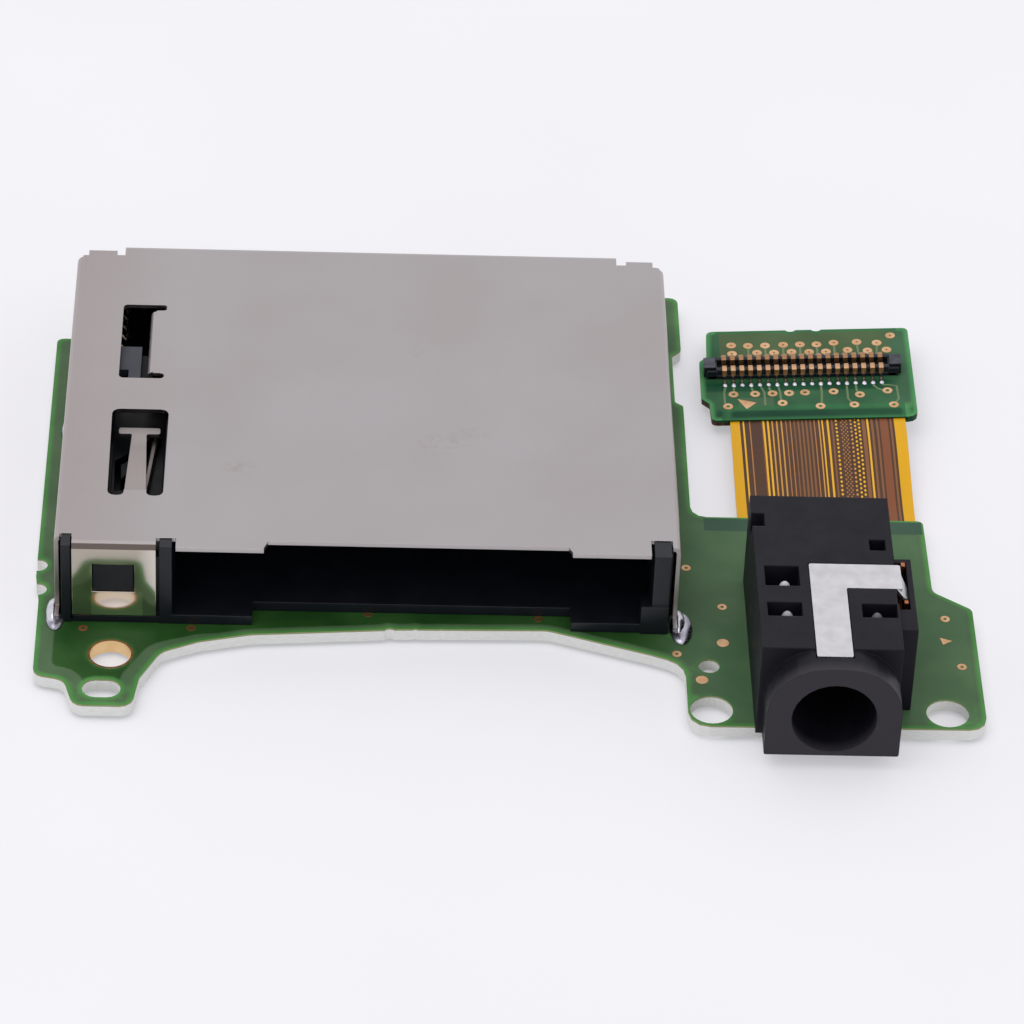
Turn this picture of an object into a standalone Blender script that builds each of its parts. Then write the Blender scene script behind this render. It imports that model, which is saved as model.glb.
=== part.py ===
"""Game card reader with a push-push eject mechanism and a headphone jack on one board.

The sizes below are in millimetres and every helper turns them into metres.
X runs along the board from its left edge, Y away from the card opening from the
board's rear step beside the ribbon, and Z up from the board's component side.
"""
import math

import bmesh
import bpy
from mathutils import Matrix, Vector

MM = 0.001

# Clearances
SEAT = 0.02
FREE = 0.06
RUN = 0.08

# Heights, from the board up
BOARD_T = 0.6
FLOOR_T = 0.47
CARD_H = 3.51
SHEET = 0.2

# Across the card reader, from the board's left edge
LEFT_MARGIN = 0.95
HOUSING_WALL = 0.41
CHANNEL_W = 3.84
DIVIDER_T = 0.54
CARD_W = 20.64
RIGHT_WALL = 0.9

# Along the card reader
MOUTH_Y = -8.3
READER_L = 22.46
REAR_WALL_T = 1.6
REAR_MARGIN = 2.64
LEG_W = 1.3
BEND_R = 0.35

# Card contacts
CONTACT_PITCH = 1.1
CONTACT_W = 0.44
CONTACT_T = 0.15
BLADE_L = 5.3
BLADE_RISE = 0.64

# Eject mechanism
TRAVEL = 3.0
SLIDER_T = 2.18
ARM_W = 1.7
SPRING_L = 5.3
SPRING_R = 0.8
SPRING_WIRE_R = 0.1
SPRING_PITCH = 0.8
PIN_R = 0.15
PIN_L = 7.9
PIN_SWING_X = 0.83
NUB_W = 1.7
NUB_H = 1.36

# Board holes
SCREW_HOLE_R = 0.92
HOLE_RIM = 0.08
SMALL_HOLE_R = 0.46

# Plug and its board
PLUG_PITCH = 0.4
PLUG_POSITIONS = 19
PLUG_D = 1.15
PLUG_H = 0.56
PLUG_BOARD_T = 0.3
PLUG_TILT = 3.0
RIBBON_T = 0.12
RIBBON_SPAN = 7.2
RIBBON_TONGUE = 0.85

# Headphone jack
JACK_GAP = 3.05
JACK_W = 5.95
JACK_L = 11.85
NOSE_L = 1.4
BORE_R = 1.8
JACK_FLOOR = 0.18
JACK_ROOF = 0.85
STRIP_T = 0.18
TONGUE_SLOPE = 0.8
JACK_SETBACK = 8.0
JACK_BLADE_W = 0.56
DIMPLE_R = 0.27
DIMPLE_H = 0.4

# Places that follow from the sizes
FLOOR_Z = SEAT + FLOOR_T
COVER_TOP = FLOOR_Z + CARD_H + SHEET
COVER_UNDER = COVER_TOP - SHEET
COVER_X0 = LEFT_MARGIN
WALL_X0 = COVER_X0 + SHEET + FREE
CHANNEL_X0 = WALL_X0 + HOUSING_WALL
CHANNEL_X1 = CHANNEL_X0 + CHANNEL_W
CARD_X0 = CHANNEL_X1 + DIVIDER_T
CARD_X1 = CARD_X0 + CARD_W
WALL_X1 = CARD_X1 + RIGHT_WALL
COVER_X1 = WALL_X1 + FREE + SHEET
COVER_REAR = MOUTH_Y + READER_L
REAR_WALL_Y1 = COVER_REAR - SHEET - FREE
REAR_WALL_Y0 = REAR_WALL_Y1 - REAR_WALL_T
WALL_TOP = COVER_UNDER - FREE
RIB_TOP = COVER_TOP - FREE / 2

SLIDER_Z = FLOOR_Z + RUN
SLIDER_TOP = SLIDER_Z + SLIDER_T
SLIDER_Y1 = REAR_WALL_Y0 - SPRING_L
PIN_Z = SLIDER_TOP + 0.1 + PIN_R
PIN_TIP_X = CHANNEL_X1 - 0.49
PIN_X = PIN_TIP_X - 0.67
PIN_Y = MOUTH_Y + 1.3
PIN_TIP_Y = PIN_Y + PIN_L
SLIDER_Y0 = PIN_TIP_Y - TRAVEL - 1.5
TAB_X = PIN_TIP_X - 0.5
TAB_LOW = COVER_TOP - 0.9
SPRING_X = CHANNEL_X0 + RUN + SPRING_R + SPRING_WIRE_R
SPRING_Z = SLIDER_Z + 0.83 + SPRING_R + SPRING_WIRE_R
BOSS_R = SPRING_R - SPRING_WIRE_R - 0.2
BOSS_L = 0.8

JACK_X0 = COVER_X1 + JACK_GAP
JACK_X1 = JACK_X0 + JACK_W
JACK_FRONT = MOUTH_Y - JACK_SETBACK
JACK_REAR = JACK_FRONT + JACK_L
TIP_Y = JACK_FRONT + 5.96
RING_Y = JACK_FRONT + 3.93
BORE_X = JACK_X0 + 3.12
BORE_Z = SEAT + JACK_FLOOR + BORE_R
JACK_TOP = BORE_Z + BORE_R + JACK_ROOF

PLUG_X0 = JACK_X0 - 0.95
PLUG_FIRST_X = PLUG_X0 + 0.82
PLUG_X1 = PLUG_FIRST_X + PLUG_PITCH * (PLUG_POSITIONS - 1) + 0.82
PLUG_Y0 = RIBBON_SPAN + 3.15
PLUG_Y1 = PLUG_Y0 + PLUG_D
RIBBON_X0 = PLUG_X0 + 0.94
RIBBON_X1 = PLUG_X1 + 0.06
BOARD_WAIST_X = COVER_X1 + 0.94
BOARD_STEP_X = RIBBON_X1 + 0.28
BOARD_RIGHT = BOARD_STEP_X + 1.69
BOARD_REAR = COVER_REAR + REAR_MARGIN


# Mesh helpers

def snapped(shape):
    """Equal sizes become equal coordinates, so faces meant to lie in one plane do."""
    for vertex in shape.verts:
        vertex.co = [round(value, 8) for value in vertex.co]
    return shape


def box(x0, x1, y0, y1, z0, z1):
    shape = bmesh.new()
    bmesh.ops.create_cube(shape, size=MM)
    bmesh.ops.scale(shape, vec=(x1 - x0, y1 - y0, z1 - z0), verts=shape.verts)
    middle = Vector((x0 + x1, y0 + y1, z0 + z1)) * MM / 2
    bmesh.ops.translate(shape, vec=middle, verts=shape.verts)
    return snapped(shape)


def rod(x, y, z, radius, length, axis="z", sides=20):
    """A cylinder whose end lies at the given point and which runs on along axis."""
    shape = bmesh.new()
    bmesh.ops.create_cone(
        shape, cap_ends=True, segments=sides, radius1=radius * MM, radius2=radius * MM, depth=length * MM)
    bmesh.ops.translate(shape, vec=(0.0, 0.0, length * MM / 2), verts=shape.verts)
    if axis == "y":
        turn = Matrix.Rotation(math.radians(-90.0), 3, "X")
        bmesh.ops.rotate(shape, cent=(0.0, 0.0, 0.0), matrix=turn, verts=shape.verts)
    bmesh.ops.translate(shape, vec=Vector((x, y, z)) * MM, verts=shape.verts)
    return shape


def ellipsoid(centre, radii):
    shape = bmesh.new()
    bmesh.ops.create_uvsphere(shape, u_segments=14, v_segments=8, radius=MM)
    bmesh.ops.scale(shape, vec=radii, verts=shape.verts)
    bmesh.ops.translate(shape, vec=Vector(centre) * MM, verts=shape.verts)
    return shape


def rounded(corners, steps=3):
    """Corners as (a, b) or (a, b, radius), in order; gives the outline's points."""
    points = []
    for i, corner in enumerate(corners):
        here = Vector(corner[:2])
        if len(corner) == 2:
            points.append(corner)
            continue
        back = (Vector(corners[i - 1][:2]) - here).normalized()
        on = (Vector(corners[(i + 1) % len(corners)][:2]) - here).normalized()
        half = back.angle(on) / 2.0
        centre = here + (back + on).normalized() * corner[2] / math.sin(half)
        start = here + back * corner[2] / math.tan(half) - centre
        end = here + on * corner[2] / math.tan(half) - centre
        turn = -start.angle_signed(end)
        for k in range(steps + 1):
            spot = centre + Matrix.Rotation(turn * k / steps, 2) @ start
            points.append((spot.x, spot.y))
    return points


def outline(points, low, high, axis="z"):
    """A filled outline drawn out from low to high along axis.

    Its points are (x, y) along Z, (x, z) along Y and (y, z) along X. The curve is
    drawn in millimetres at a scale of a thousandth, because a fill needs well-spaced points,
    and each cap becomes one face.
    """
    curve = bpy.data.curves.new("outline", "CURVE")
    curve.dimensions = "2D"
    curve.fill_mode = "BOTH"
    curve.extrude = (high - low) / 2
    line = curve.splines.new("POLY")
    line.points.add(len(points) - 1)
    for place, point in zip(line.points, points):
        place.co = (point[0], point[1], 0.0, 1.0)
    line.use_cyclic_u = True
    plate = bpy.data.objects.new("outline", curve)
    plate.scale = (MM, MM, MM)
    middle = (high + low) / 2 * MM
    if axis == "x":
        plate.rotation_euler = (math.radians(90.0), 0.0, math.radians(90.0))
        plate.location.x = middle
    elif axis == "y":
        plate.rotation_euler = (math.radians(90.0), 0.0, 0.0)
        plate.location.y = middle
    else:
        plate.location.z = middle
    shape = snapped(welded(plate))
    across = "xyz".index(axis)
    caps = {face for face in shape.faces if len({vertex.co[across] for vertex in face.verts}) == 1}
    inside = [edge for edge in shape.edges if caps.issuperset(edge.link_faces)]
    bmesh.ops.dissolve_edges(shape, edges=inside)
    bmesh.ops.recalc_face_normals(shape, faces=shape.faces)
    return shape


def welded(piece):
    """The curve object's mesh, with its caps welded; the object itself is removed."""
    cutters.objects.link(piece)
    graph = bpy.context.evaluated_depsgraph_get()
    mesh = bpy.data.meshes.new_from_object(piece.evaluated_get(graph))
    mesh.transform(piece.matrix_world)
    bpy.data.objects.remove(piece)
    shape = bmesh.new()
    shape.from_mesh(mesh)
    bpy.data.meshes.remove(mesh)
    bmesh.ops.remove_doubles(shape, verts=shape.verts, dist=0.0000002)
    bmesh.ops.recalc_face_normals(shape, faces=shape.faces)
    return shape


def make_object(name, shape, collection):
    mesh = bpy.data.meshes.new(name)
    shape.to_mesh(mesh)
    shape.free()
    piece = bpy.data.objects.new(name, mesh)
    collection.objects.link(piece)
    return piece


def combine(piece, shapes, operation):
    """Apply one exact Boolean for each shape, in order."""
    for shape in shapes:
        tool = make_object("tool", shape, cutters)
        tool.hide_render = True
        tool.display_type = "WIRE"
        step = piece.modifiers.new("step", "BOOLEAN")
        step.operation = operation
        step.solver = "EXACT"
        step.object = tool
        graph = bpy.context.evaluated_depsgraph_get()
        result = bpy.data.meshes.new_from_object(piece.evaluated_get(graph))
        piece.modifiers.clear()
        piece.data = result
        bpy.data.objects.remove(tool)


def solid(name, material, shapes, cuts=()):
    """A named piece: the first shape, joined with the others, less the cuts."""
    piece = make_object(name, shapes[0], parts)
    combine(piece, shapes[1:], "UNION")
    combine(piece, cuts, "DIFFERENCE")
    piece.data.name = name
    piece.data.materials.clear()
    piece.data.materials.append(material)
    return piece


def bent_wire(name, material, points, radius):
    """A round wire along points, with filled ends; its origin is at the first point."""
    curve = bpy.data.curves.new(name, "CURVE")
    curve.dimensions = "3D"
    curve.bevel_depth = radius
    curve.bevel_resolution = 1
    curve.use_fill_caps = True
    line = curve.splines.new("POLY")
    line.points.add(len(points) - 1)
    for place, point in zip(line.points, points):
        place.co = (*(Vector(point) - Vector(points[0])), 1.0)
    wire = bpy.data.objects.new(name, curve)
    wire.scale = (MM, MM, MM)
    piece = solid(name, material, [welded(wire)])
    piece.data.shade_smooth()
    piece.data.set_sharp_from_angle(angle=math.radians(50.0))
    piece.location = Vector(points[0]) * MM
    return piece


def finish(name, colour, roughness, metallic):
    material = bpy.data.materials.new(name)
    material.use_nodes = True
    shader = material.node_tree.nodes["Principled BSDF"]
    shader.inputs["Base Color"].default_value = (*colour, 1.0)
    shader.inputs["Roughness"].default_value = roughness
    shader.inputs["Metallic"].default_value = metallic
    return material


# Boards and ribbon

def screw_holes():
    """Left, middle and right screw hole."""
    return [
        (3.46, MOUTH_Y - 2.16),
        (COVER_X1 + 1.27, MOUTH_Y - 5.1),
        (BOARD_RIGHT - 1.63, MOUTH_Y - 5.05),
    ]


def board_outline():
    front = MOUTH_Y
    tab_x = screw_holes()[1][0] - SCREW_HOLE_R - HOLE_RIM
    right = COVER_X1
    rear_left = COVER_REAR - 1.66
    return rounded([
        (0.0, rear_left, 0.3), (0.0, front + 3.1, 0.2), (0.2, front + 1.4, 0.2), (0.22, front - 3.6, 0.5),
        (1.55, front - 3.9, 0.6), (2.0, front - 5.58, 0.6), (4.5, front - 5.58, 0.6),
        (4.75, front - 3.7, 0.6), (5.6, front - 1.9, 1.0), (7.2, front - 1.15, 1.0),
        (9.4, front - 0.6, 1.5), (15.8, front - 0.07, 2.0), (right - 5.6, front + 0.08, 1.5),
        (right - 1.22, front - 1.44, 1.0), (tab_x, front - 2.05, 1.2), (tab_x, front - 6.17, 0.9),
        (BOARD_RIGHT, front - 6.07, 0.75), (BOARD_RIGHT, front + 2.05, 0.4),
        (BOARD_STEP_X + 0.04, front + 3.25, 0.5), (BOARD_STEP_X, 0.0, 0.25), (BOARD_WAIST_X, 0.0, 0.7),
        (BOARD_WAIST_X, 8.28, 0.2), (BOARD_WAIST_X - 0.37, 8.55, 0.2), (BOARD_WAIST_X - 0.37, 12.15, 0.2),
        (BOARD_WAIST_X + 0.06, 12.6, 0.3), (BOARD_WAIST_X + 0.06, BOARD_REAR, 0.4),
        (1.3, BOARD_REAR, 0.4), (1.3, rear_left, 0.3),
    ])


def leg_places():
    """Left X, front Y and rear Y of each cover leg, which stands in a slot of the board."""
    left = COVER_X0
    right = COVER_X1 - SHEET
    front = MOUTH_Y - 0.1
    side = MOUTH_Y + 13.0
    return {
        "front_left": (left, front, front + LEG_W),
        "front_right": (right, front, front + LEG_W),
        "side_left": (left, side, side + LEG_W),
        "side_right": (right, side, side + LEG_W),
    }


def make_main_board(material):
    low = -BOARD_T - 1.0
    depth = BOARD_T + 2.0
    cuts = [rod(x, y, low, SCREW_HOLE_R, depth, sides=24) for x, y in screw_holes()]
    cuts.append(rod(COVER_X1 + 1.29, MOUTH_Y - 2.18, low, SMALL_HOLE_R, depth, sides=16))
    slot_y = MOUTH_Y - 4.46
    cuts.append(outline(rounded([
        (2.35, slot_y - 0.6, 0.58), (4.0, slot_y - 0.6, 0.58), (4.0, slot_y + 0.6, 0.58),
        (2.35, slot_y + 0.6, 0.58),
    ], 4), low, low + depth))
    for x, y in ((0.05, MOUTH_Y + 3.9), (0.1, MOUTH_Y + 2.22)):
        cuts.append(rod(x, y, low, 0.42, depth, sides=16))
    for x in (15.4, 16.5, 17.6):
        cuts.append(rod(x, MOUTH_Y - 0.3, low, 0.3, depth, sides=12))
    middle = -BOARD_T / 2
    half = RIBBON_T / 2 + SEAT
    cuts.append(box(RIBBON_X0 - 0.1, RIBBON_X1 + 0.1, -RIBBON_TONGUE, 1.0, middle - half, middle + half))
    for left, front, rear in leg_places().values():
        cuts.append(box(left - FREE, left + SHEET + FREE, front - FREE, rear + FREE, low, low + depth))
    solid("main_board", material, [outline(board_outline(), -BOARD_T, 0.0)], cuts)


def tilt(piece):
    """Stand a piece built flat on the plug board at the plug board's slant, right end up."""
    pivot = Vector((PLUG_X0 + 0.1, 0.0, 0.0)) * MM
    piece.rotation_euler.y = math.radians(-PLUG_TILT)
    piece.location = pivot
    piece.data.transform(Matrix.Translation(-pivot))


def make_plug_board(material):
    left = PLUG_X0 + 0.1
    right = PLUG_X1 + 0.66
    front = RIBBON_SPAN
    rear = PLUG_Y1 + 2.63
    plate = rounded([
        (left, front, 0.25), (right, front, 0.45), (right, rear, 0.25), (left + 0.03, rear, 0.3),
        (left - 0.03, front + 4.95, 0.1), (left - 0.38, front + 4.55, 0.15),
        (left - 0.4, front + 1.7, 0.15), (left - 0.05, front + 1.3, 0.1),
    ])
    middle = -PLUG_BOARD_T / 2
    half = RIBBON_T / 2 + SEAT
    cuts = [
        rod(left + 3.95, rear + 0.17, -1.0, 0.3, 2.0, sides=12),
        rod(left + 5.15, rear + 0.17, -1.0, 0.3, 2.0, sides=12),
        box(RIBBON_X0 - 0.1, RIBBON_X1 + 0.1, front - 1.0, front + RIBBON_TONGUE + 0.05,
            middle - half, middle + half),
    ]
    tilt(solid("plug_board", material, [outline(plate, -PLUG_BOARD_T, 0.0)], cuts))


def ribbon_height(x, y):
    """The ribbon's middle height: level in the main board, slanted in the plug board."""
    near = -BOARD_T / 2
    slope = math.tan(math.radians(PLUG_TILT))
    far = -PLUG_BOARD_T / 2 + (x - PLUG_X0 - 0.1) * slope
    part = min(max((y - 0.5) / (RIBBON_SPAN - 1.0), 0.0), 1.0)
    return near + (far - near) * part * part * (3.0 - 2.0 * part)


def make_ribbon(material):
    """A grid that follows the ribbon's twist, thickened by Solidify."""
    rows = 16
    y0 = -RIBBON_TONGUE + 0.04
    y1 = RIBBON_SPAN + RIBBON_TONGUE
    shape = bmesh.new()
    bmesh.ops.create_grid(shape, x_segments=4, y_segments=rows, size=0.5)
    for vertex in shape.verts:
        x = RIBBON_X0 + (RIBBON_X1 - RIBBON_X0) * (vertex.co.x + 0.5)
        y = y0 + (y1 - y0) * (vertex.co.y + 0.5)
        vertex.co = Vector((x, y, ribbon_height(x, y))) * MM
    piece = solid("flex_ribbon", material, [shape])
    film = piece.modifiers.new("film", "SOLIDIFY")
    film.thickness = RIBBON_T * MM
    film.offset = 0.0


# Shield cover

def cover_arch():
    """The cover's cross-section: top and side walls, open below, down to the legs' ends."""
    low = -BOARD_T + 0.05
    outer = BEND_R
    inner = BEND_R - SHEET
    return rounded([
        (COVER_X0, low), (COVER_X0, COVER_TOP, outer), (COVER_X1, COVER_TOP, outer), (COVER_X1, low),
        (COVER_X1 - SHEET, low), (COVER_X1 - SHEET, COVER_UNDER, inner),
        (COVER_X0 + SHEET, COVER_UNDER, inner), (COVER_X0 + SHEET, low),
    ])


def folded_edge(y_inside, y_outside, low, x0, x1):
    """An edge of the top that is folded down, as a cross-section drawn out along X."""
    back = SHEET if y_outside > y_inside else -SHEET
    return outline(rounded([
        (y_inside, COVER_TOP), (y_outside, COVER_TOP, BEND_R), (y_outside, low),
        (y_outside - back, low), (y_outside - back, COVER_UNDER, BEND_R - SHEET), (y_inside, COVER_UNDER),
    ]), x0, x1, "x")


def pin_leaf():
    """The T-shaped leaf of the top that presses on the cam pin, bent down from its root."""
    mid = PIN_TIP_X - 0.685
    root = PIN_TIP_Y - 5.5
    end = PIN_TIP_Y + 0.25
    head = end - 0.54
    shape = outline(rounded([
        (mid - 0.475, root), (mid + 0.475, root), (mid + 0.3, head, 0.1), (mid + 0.895, head, 0.1),
        (mid + 0.895, end, 0.12), (mid - 0.925, end, 0.12), (mid - 0.925, head, 0.1),
        (mid - 0.34, head, 0.1),
    ]), COVER_UNDER + SEAT / 2, COVER_TOP - SEAT / 2)
    resting = PIN_Z + PIN_R + RUN + SHEET
    slope = (COVER_TOP - resting) / (end - root)
    for vertex in shape.verts:
        vertex.co.z -= slope * (vertex.co.y - root * MM)
    return snapped(shape)


def guide_tab():
    """The tab of the top that is bent down beside the slider."""
    outer = TAB_X
    inner = TAB_X + SHEET
    root = inner + 0.2
    top = COVER_TOP - SEAT / 2
    under = COVER_UNDER + SEAT / 2
    return outline(rounded([
        (root, top), (outer, top, 0.24), (outer, TAB_LOW), (inner, TAB_LOW), (inner, under, 0.06),
        (root, under),
    ]), SLIDER_Y1 - 2.7, SLIDER_Y1 + 1.93, "y")


def cover_windows():
    low = COVER_UNDER - 1.1
    high = COVER_TOP + 1.0
    left = TAB_X - 1.25
    front = SLIDER_Y1 - 3.18
    rear = SLIDER_Y1 + 2.43
    slot_c = rounded([
        (left, front, 0.2), (left + 2.0, front, 0.18), (left + 2.0, front + 0.4, 0.18),
        (TAB_X + 0.25, front + 0.42), (TAB_X + 0.25, rear - 0.44), (left + 1.95, rear - 0.41, 0.12),
        (left + 1.95, rear, 0.12), (left, rear, 0.2),
    ])
    mid = PIN_TIP_X - 0.685
    front = PIN_TIP_Y - 5.65
    rear = PIN_TIP_Y + 0.6
    root = front + 0.4
    slot_t = rounded([
        (mid - 1.235, rear, 0.35), (mid + 1.255, rear, 0.35), (mid + 1.215, front, 0.3),
        (mid + 0.485, front, 0.25), (mid + 0.485, root), (mid - 0.485, root), (mid - 0.485, front, 0.25),
        (mid - 1.185, front, 0.3),
    ])
    return [outline(slot_c, low, high), outline(slot_t, low, high)]


def leg_gaps():
    """What is cut from below the side walls, so that only the legs reach into the board."""
    cuts = []
    for name, (left, front, rear) in leg_places().items():
        if name.startswith("side"):
            cuts.append(box(left - 1.0, left + 1.0, MOUTH_Y - 0.1 + LEG_W, front, -BOARD_T - 1.0, 0.12))
            cuts.append(box(left - 1.0, left + 1.0, rear, COVER_REAR + 1.0, -BOARD_T - 1.0, 0.12))
    return cuts


def cover_edges():
    """The front outline, the relief notches beside the folds and the corners."""
    low = COVER_UNDER - 1.1
    high = COVER_TOP + 1.0
    mouth = MOUTH_Y
    front = mouth - 1.0
    rear = COVER_REAR
    beyond = rear + 1.0
    wall = -BOARD_T - 1.0
    flap_end = CHANNEL_X1 - 0.04
    middle = [(CARD_X0 + 3.93, front), (CARD_X0 + 3.93, mouth + 0.05), (CARD_X0 + 4.1, mouth + 0.51),
              (CARD_X1 - 3.68, mouth + 0.51), (CARD_X1 - 3.52, mouth + 0.15), (CARD_X1 - 3.52, front)]
    return [
        box(CHANNEL_X0 - 0.42, CHANNEL_X0 + 0.09, front, mouth + 0.8, low, high),
        box(CHANNEL_X0 - 0.02, flap_end + 0.02, front, mouth + 0.6, low, high),
        box(flap_end, CARD_X0 + 0.17, front, mouth + 0.6, low, high),
        outline(middle, low, high),
        box(CARD_X1 - 3.6, CARD_X1 - 0.09, front, mouth + 0.04, low, high),
        box(CARD_X1 - 0.14, WALL_X1 - 0.11, front, mouth + 1.1, low, high),
        box(COVER_X0 - 1.0, WALL_X0 + 0.04, front, mouth + 0.64, 0.4, high),
        box(WALL_X1 - 0.19, COVER_X1 + 1.0, front, mouth + 0.62, 0.4, high),
        box(COVER_X0 - 1.0, COVER_X0 + 0.51, rear - 0.91, beyond, wall, high),
        box(COVER_X0 - 1.0, COVER_X0 + 0.25, rear - 1.02, beyond, wall, high),
        box(COVER_X0 + 1.8, COVER_X0 + 2.17, rear - 0.86, beyond, low, high),
        box(COVER_X1 - 2.17, COVER_X1 - 1.72, rear - 0.8, beyond, low, high),
        box(COVER_X1 - 0.51, COVER_X1 + 1.0, rear - 0.93, beyond, wall, high),
        box(COVER_X1 - 0.2, COVER_X1 + 1.0, rear - 1.04, beyond, wall, high),
        box(COVER_X0 + 2.15, COVER_X1 - 2.15, rear - 0.86, beyond, low, high),
    ]


def nub_box(gap):
    """The housing's nub that snaps into the flap's window, with a gap all round."""
    middle = (CHANNEL_X0 + CHANNEL_X1) / 2 - 0.04
    low = FLOOR_Z + 1.25
    return (middle - NUB_W / 2 - gap, middle + NUB_W / 2 + gap, MOUTH_Y + 0.04 - 10 * gap, MOUTH_Y + 0.4 + 2 * gap,
            low - gap, low + NUB_H + gap)


def make_cover(material):
    plain = outline(cover_arch(), MOUTH_Y - 0.08, COVER_REAR - 0.52, "y")
    piece = solid("shield_cover", material, [plain], cover_edges() + cover_windows() + leg_gaps())
    combine(piece, [
        folded_edge(COVER_REAR - 1.16, COVER_REAR, 0.8, COVER_X0 + 2.17, COVER_X1 - 2.17),
        folded_edge(MOUTH_Y + 0.9, MOUTH_Y, 0.4, CHANNEL_X0 + 0.11, CHANNEL_X1 - 0.14),
        pin_leaf(),
        guide_tab(),
    ], "UNION")
    combine(piece, [box(*nub_box(FREE))], "DIFFERENCE")


# Card housing

def contact_xs():
    """The contacts fill the card space between the slider's arm and the right wall."""
    first = CARD_X0 + 2.0
    count = int((CARD_X1 - 2.1 - first) / CONTACT_PITCH) + 1
    return [first + CONTACT_PITCH * i for i in range(count)]


def make_housing(material):
    base = SEAT
    front = MOUTH_Y - 0.02
    flap_inside = MOUTH_Y + SHEET + FREE + 0.01
    side_end = REAR_WALL_Y1 - 0.8
    shapes = [
        box(WALL_X0 + 0.45, WALL_X1 - 0.12, flap_inside, REAR_WALL_Y1, base, FLOOR_Z),
        box(CHANNEL_X0 + 0.13, CHANNEL_X1 + 0.04, MOUTH_Y + 0.02, flap_inside + 0.2, base, 0.4 - FREE),
        box(CHANNEL_X1, CARD_X0 + 3.45, front, flap_inside + 0.2, base, FLOOR_Z),
        box(CARD_X1 - 3.44, WALL_X1 - 0.12, front, flap_inside + 0.2, base, FLOOR_Z),
        box(WALL_X0, CHANNEL_X0, MOUTH_Y + 0.85, side_end, base, WALL_TOP),
        box(WALL_X0 + FREE, CHANNEL_X0 + 0.05, front, MOUTH_Y + 0.77, base, RIB_TOP),
        box(WALL_X0 + FREE, CHANNEL_X0, MOUTH_Y + 0.6, MOUTH_Y + 0.95, base, WALL_TOP),
        box(CHANNEL_X1, CARD_X0, front, SLIDER_Y1 - ARM_W - 0.3, base, WALL_TOP),
        box(CHANNEL_X1 + 0.02, CARD_X0, front, MOUTH_Y + 0.54, FLOOR_Z, RIB_TOP),
        box(CHANNEL_X1, CARD_X0, SLIDER_Y1 + TRAVEL + 0.2, REAR_WALL_Y0 + 0.1, base, WALL_TOP),
        box(CARD_X1, WALL_X1, MOUTH_Y + 1.2, side_end, base, WALL_TOP),
        box(CARD_X1, WALL_X1 - 0.17, front, MOUTH_Y + 1.04, base, RIB_TOP),
        box(CARD_X1, WALL_X1 - 0.17, MOUTH_Y + 1.0, MOUTH_Y + 1.3, base, WALL_TOP),
        box(CARD_X1 - 0.46, WALL_X1 - 0.17, front - 0.08, MOUTH_Y + 0.8, base, FLOOR_Z + 1.0),
        box(WALL_X0 + 0.3, WALL_X1 - 0.3, REAR_WALL_Y0, REAR_WALL_Y1, base, WALL_TOP),
        box(CHANNEL_X0 - 0.02, CHANNEL_X1 + 0.04, flap_inside, MOUTH_Y + 0.8, base, COVER_UNDER - 0.6),
        box(CHANNEL_X0 - 0.02, CHANNEL_X1 + 0.04, MOUTH_Y + 0.7, PIN_Y + 0.8, base, SLIDER_TOP + 0.04),
        box(*nub_box(0.0)),
        rod(SPRING_X, REAR_WALL_Y0 - BOSS_L, SPRING_Z, BOSS_R, BOSS_L + 0.2, "y", 12),
    ]
    notch = REAR_WALL_Y1 - 0.35
    cuts = [
        box(CARD_X0 + 3.45, CARD_X1 - 3.44, front - 1.0, MOUTH_Y + 1.0, -1.0, FLOOR_Z + 1.0),
        rod(PIN_X, PIN_Y, PIN_Z - 1.4, PIN_R + 0.04, 3.0, sides=12),
        box(WALL_X0 - 0.2, WALL_X0 + 1.9, notch, notch + 2.0, COVER_UNDER - 0.8, COVER_TOP + 1.0),
        box(WALL_X1 - 1.9, WALL_X1 + 0.2, notch, notch + 2.0, COVER_UNDER - 0.8, COVER_TOP + 1.0),
    ]
    half = CONTACT_W / 2
    for x in contact_xs():
        cuts.append(box(x - half - RUN, x + half + RUN, REAR_WALL_Y0 - BLADE_L - 1.4, REAR_WALL_Y0 - 0.1,
                        -1.0, FLOOR_Z + 1.0))
        cuts.append(box(x - half - SEAT, x + half + SEAT, REAR_WALL_Y0 - 0.2, REAR_WALL_Y1 + 1.0,
                        0.2 - SEAT, 0.2 + CONTACT_T + SEAT))
    solid("card_housing", material, shapes, cuts)


def make_card_contacts(material):
    """Spring blades: tail on the board, straight run through the rear wall, raised tip."""
    t = CONTACT_T
    run = 0.2
    tip_y = REAR_WALL_Y0 - BLADE_L
    tip_z = run + BLADE_RISE
    tail_y = REAR_WALL_Y1 + 1.6
    side = [
        (tail_y, SEAT), (REAR_WALL_Y1 + 0.35, SEAT), (REAR_WALL_Y1 + 0.15, run),
        (REAR_WALL_Y0 - 0.7, run), (tip_y, tip_z), (tip_y - 0.7, tip_z - 0.24),
        (tip_y - 0.8, tip_z - 0.24 + t), (tip_y - 0.05, tip_z + 0.02 + t), (tip_y + 0.1, tip_z + 0.01 + t),
        (REAR_WALL_Y0 - 0.7, run + t), (REAR_WALL_Y1 + 0.2, run + t), (REAR_WALL_Y1 + 0.42, SEAT + t),
        (tail_y, SEAT + t),
    ]
    for i, x in enumerate(contact_xs()):
        blade = outline(side, x - CONTACT_W / 2, x + CONTACT_W / 2, "x")
        solid("card_contact_%02d" % (i + 1), material, [blade])


# Eject mechanism

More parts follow.
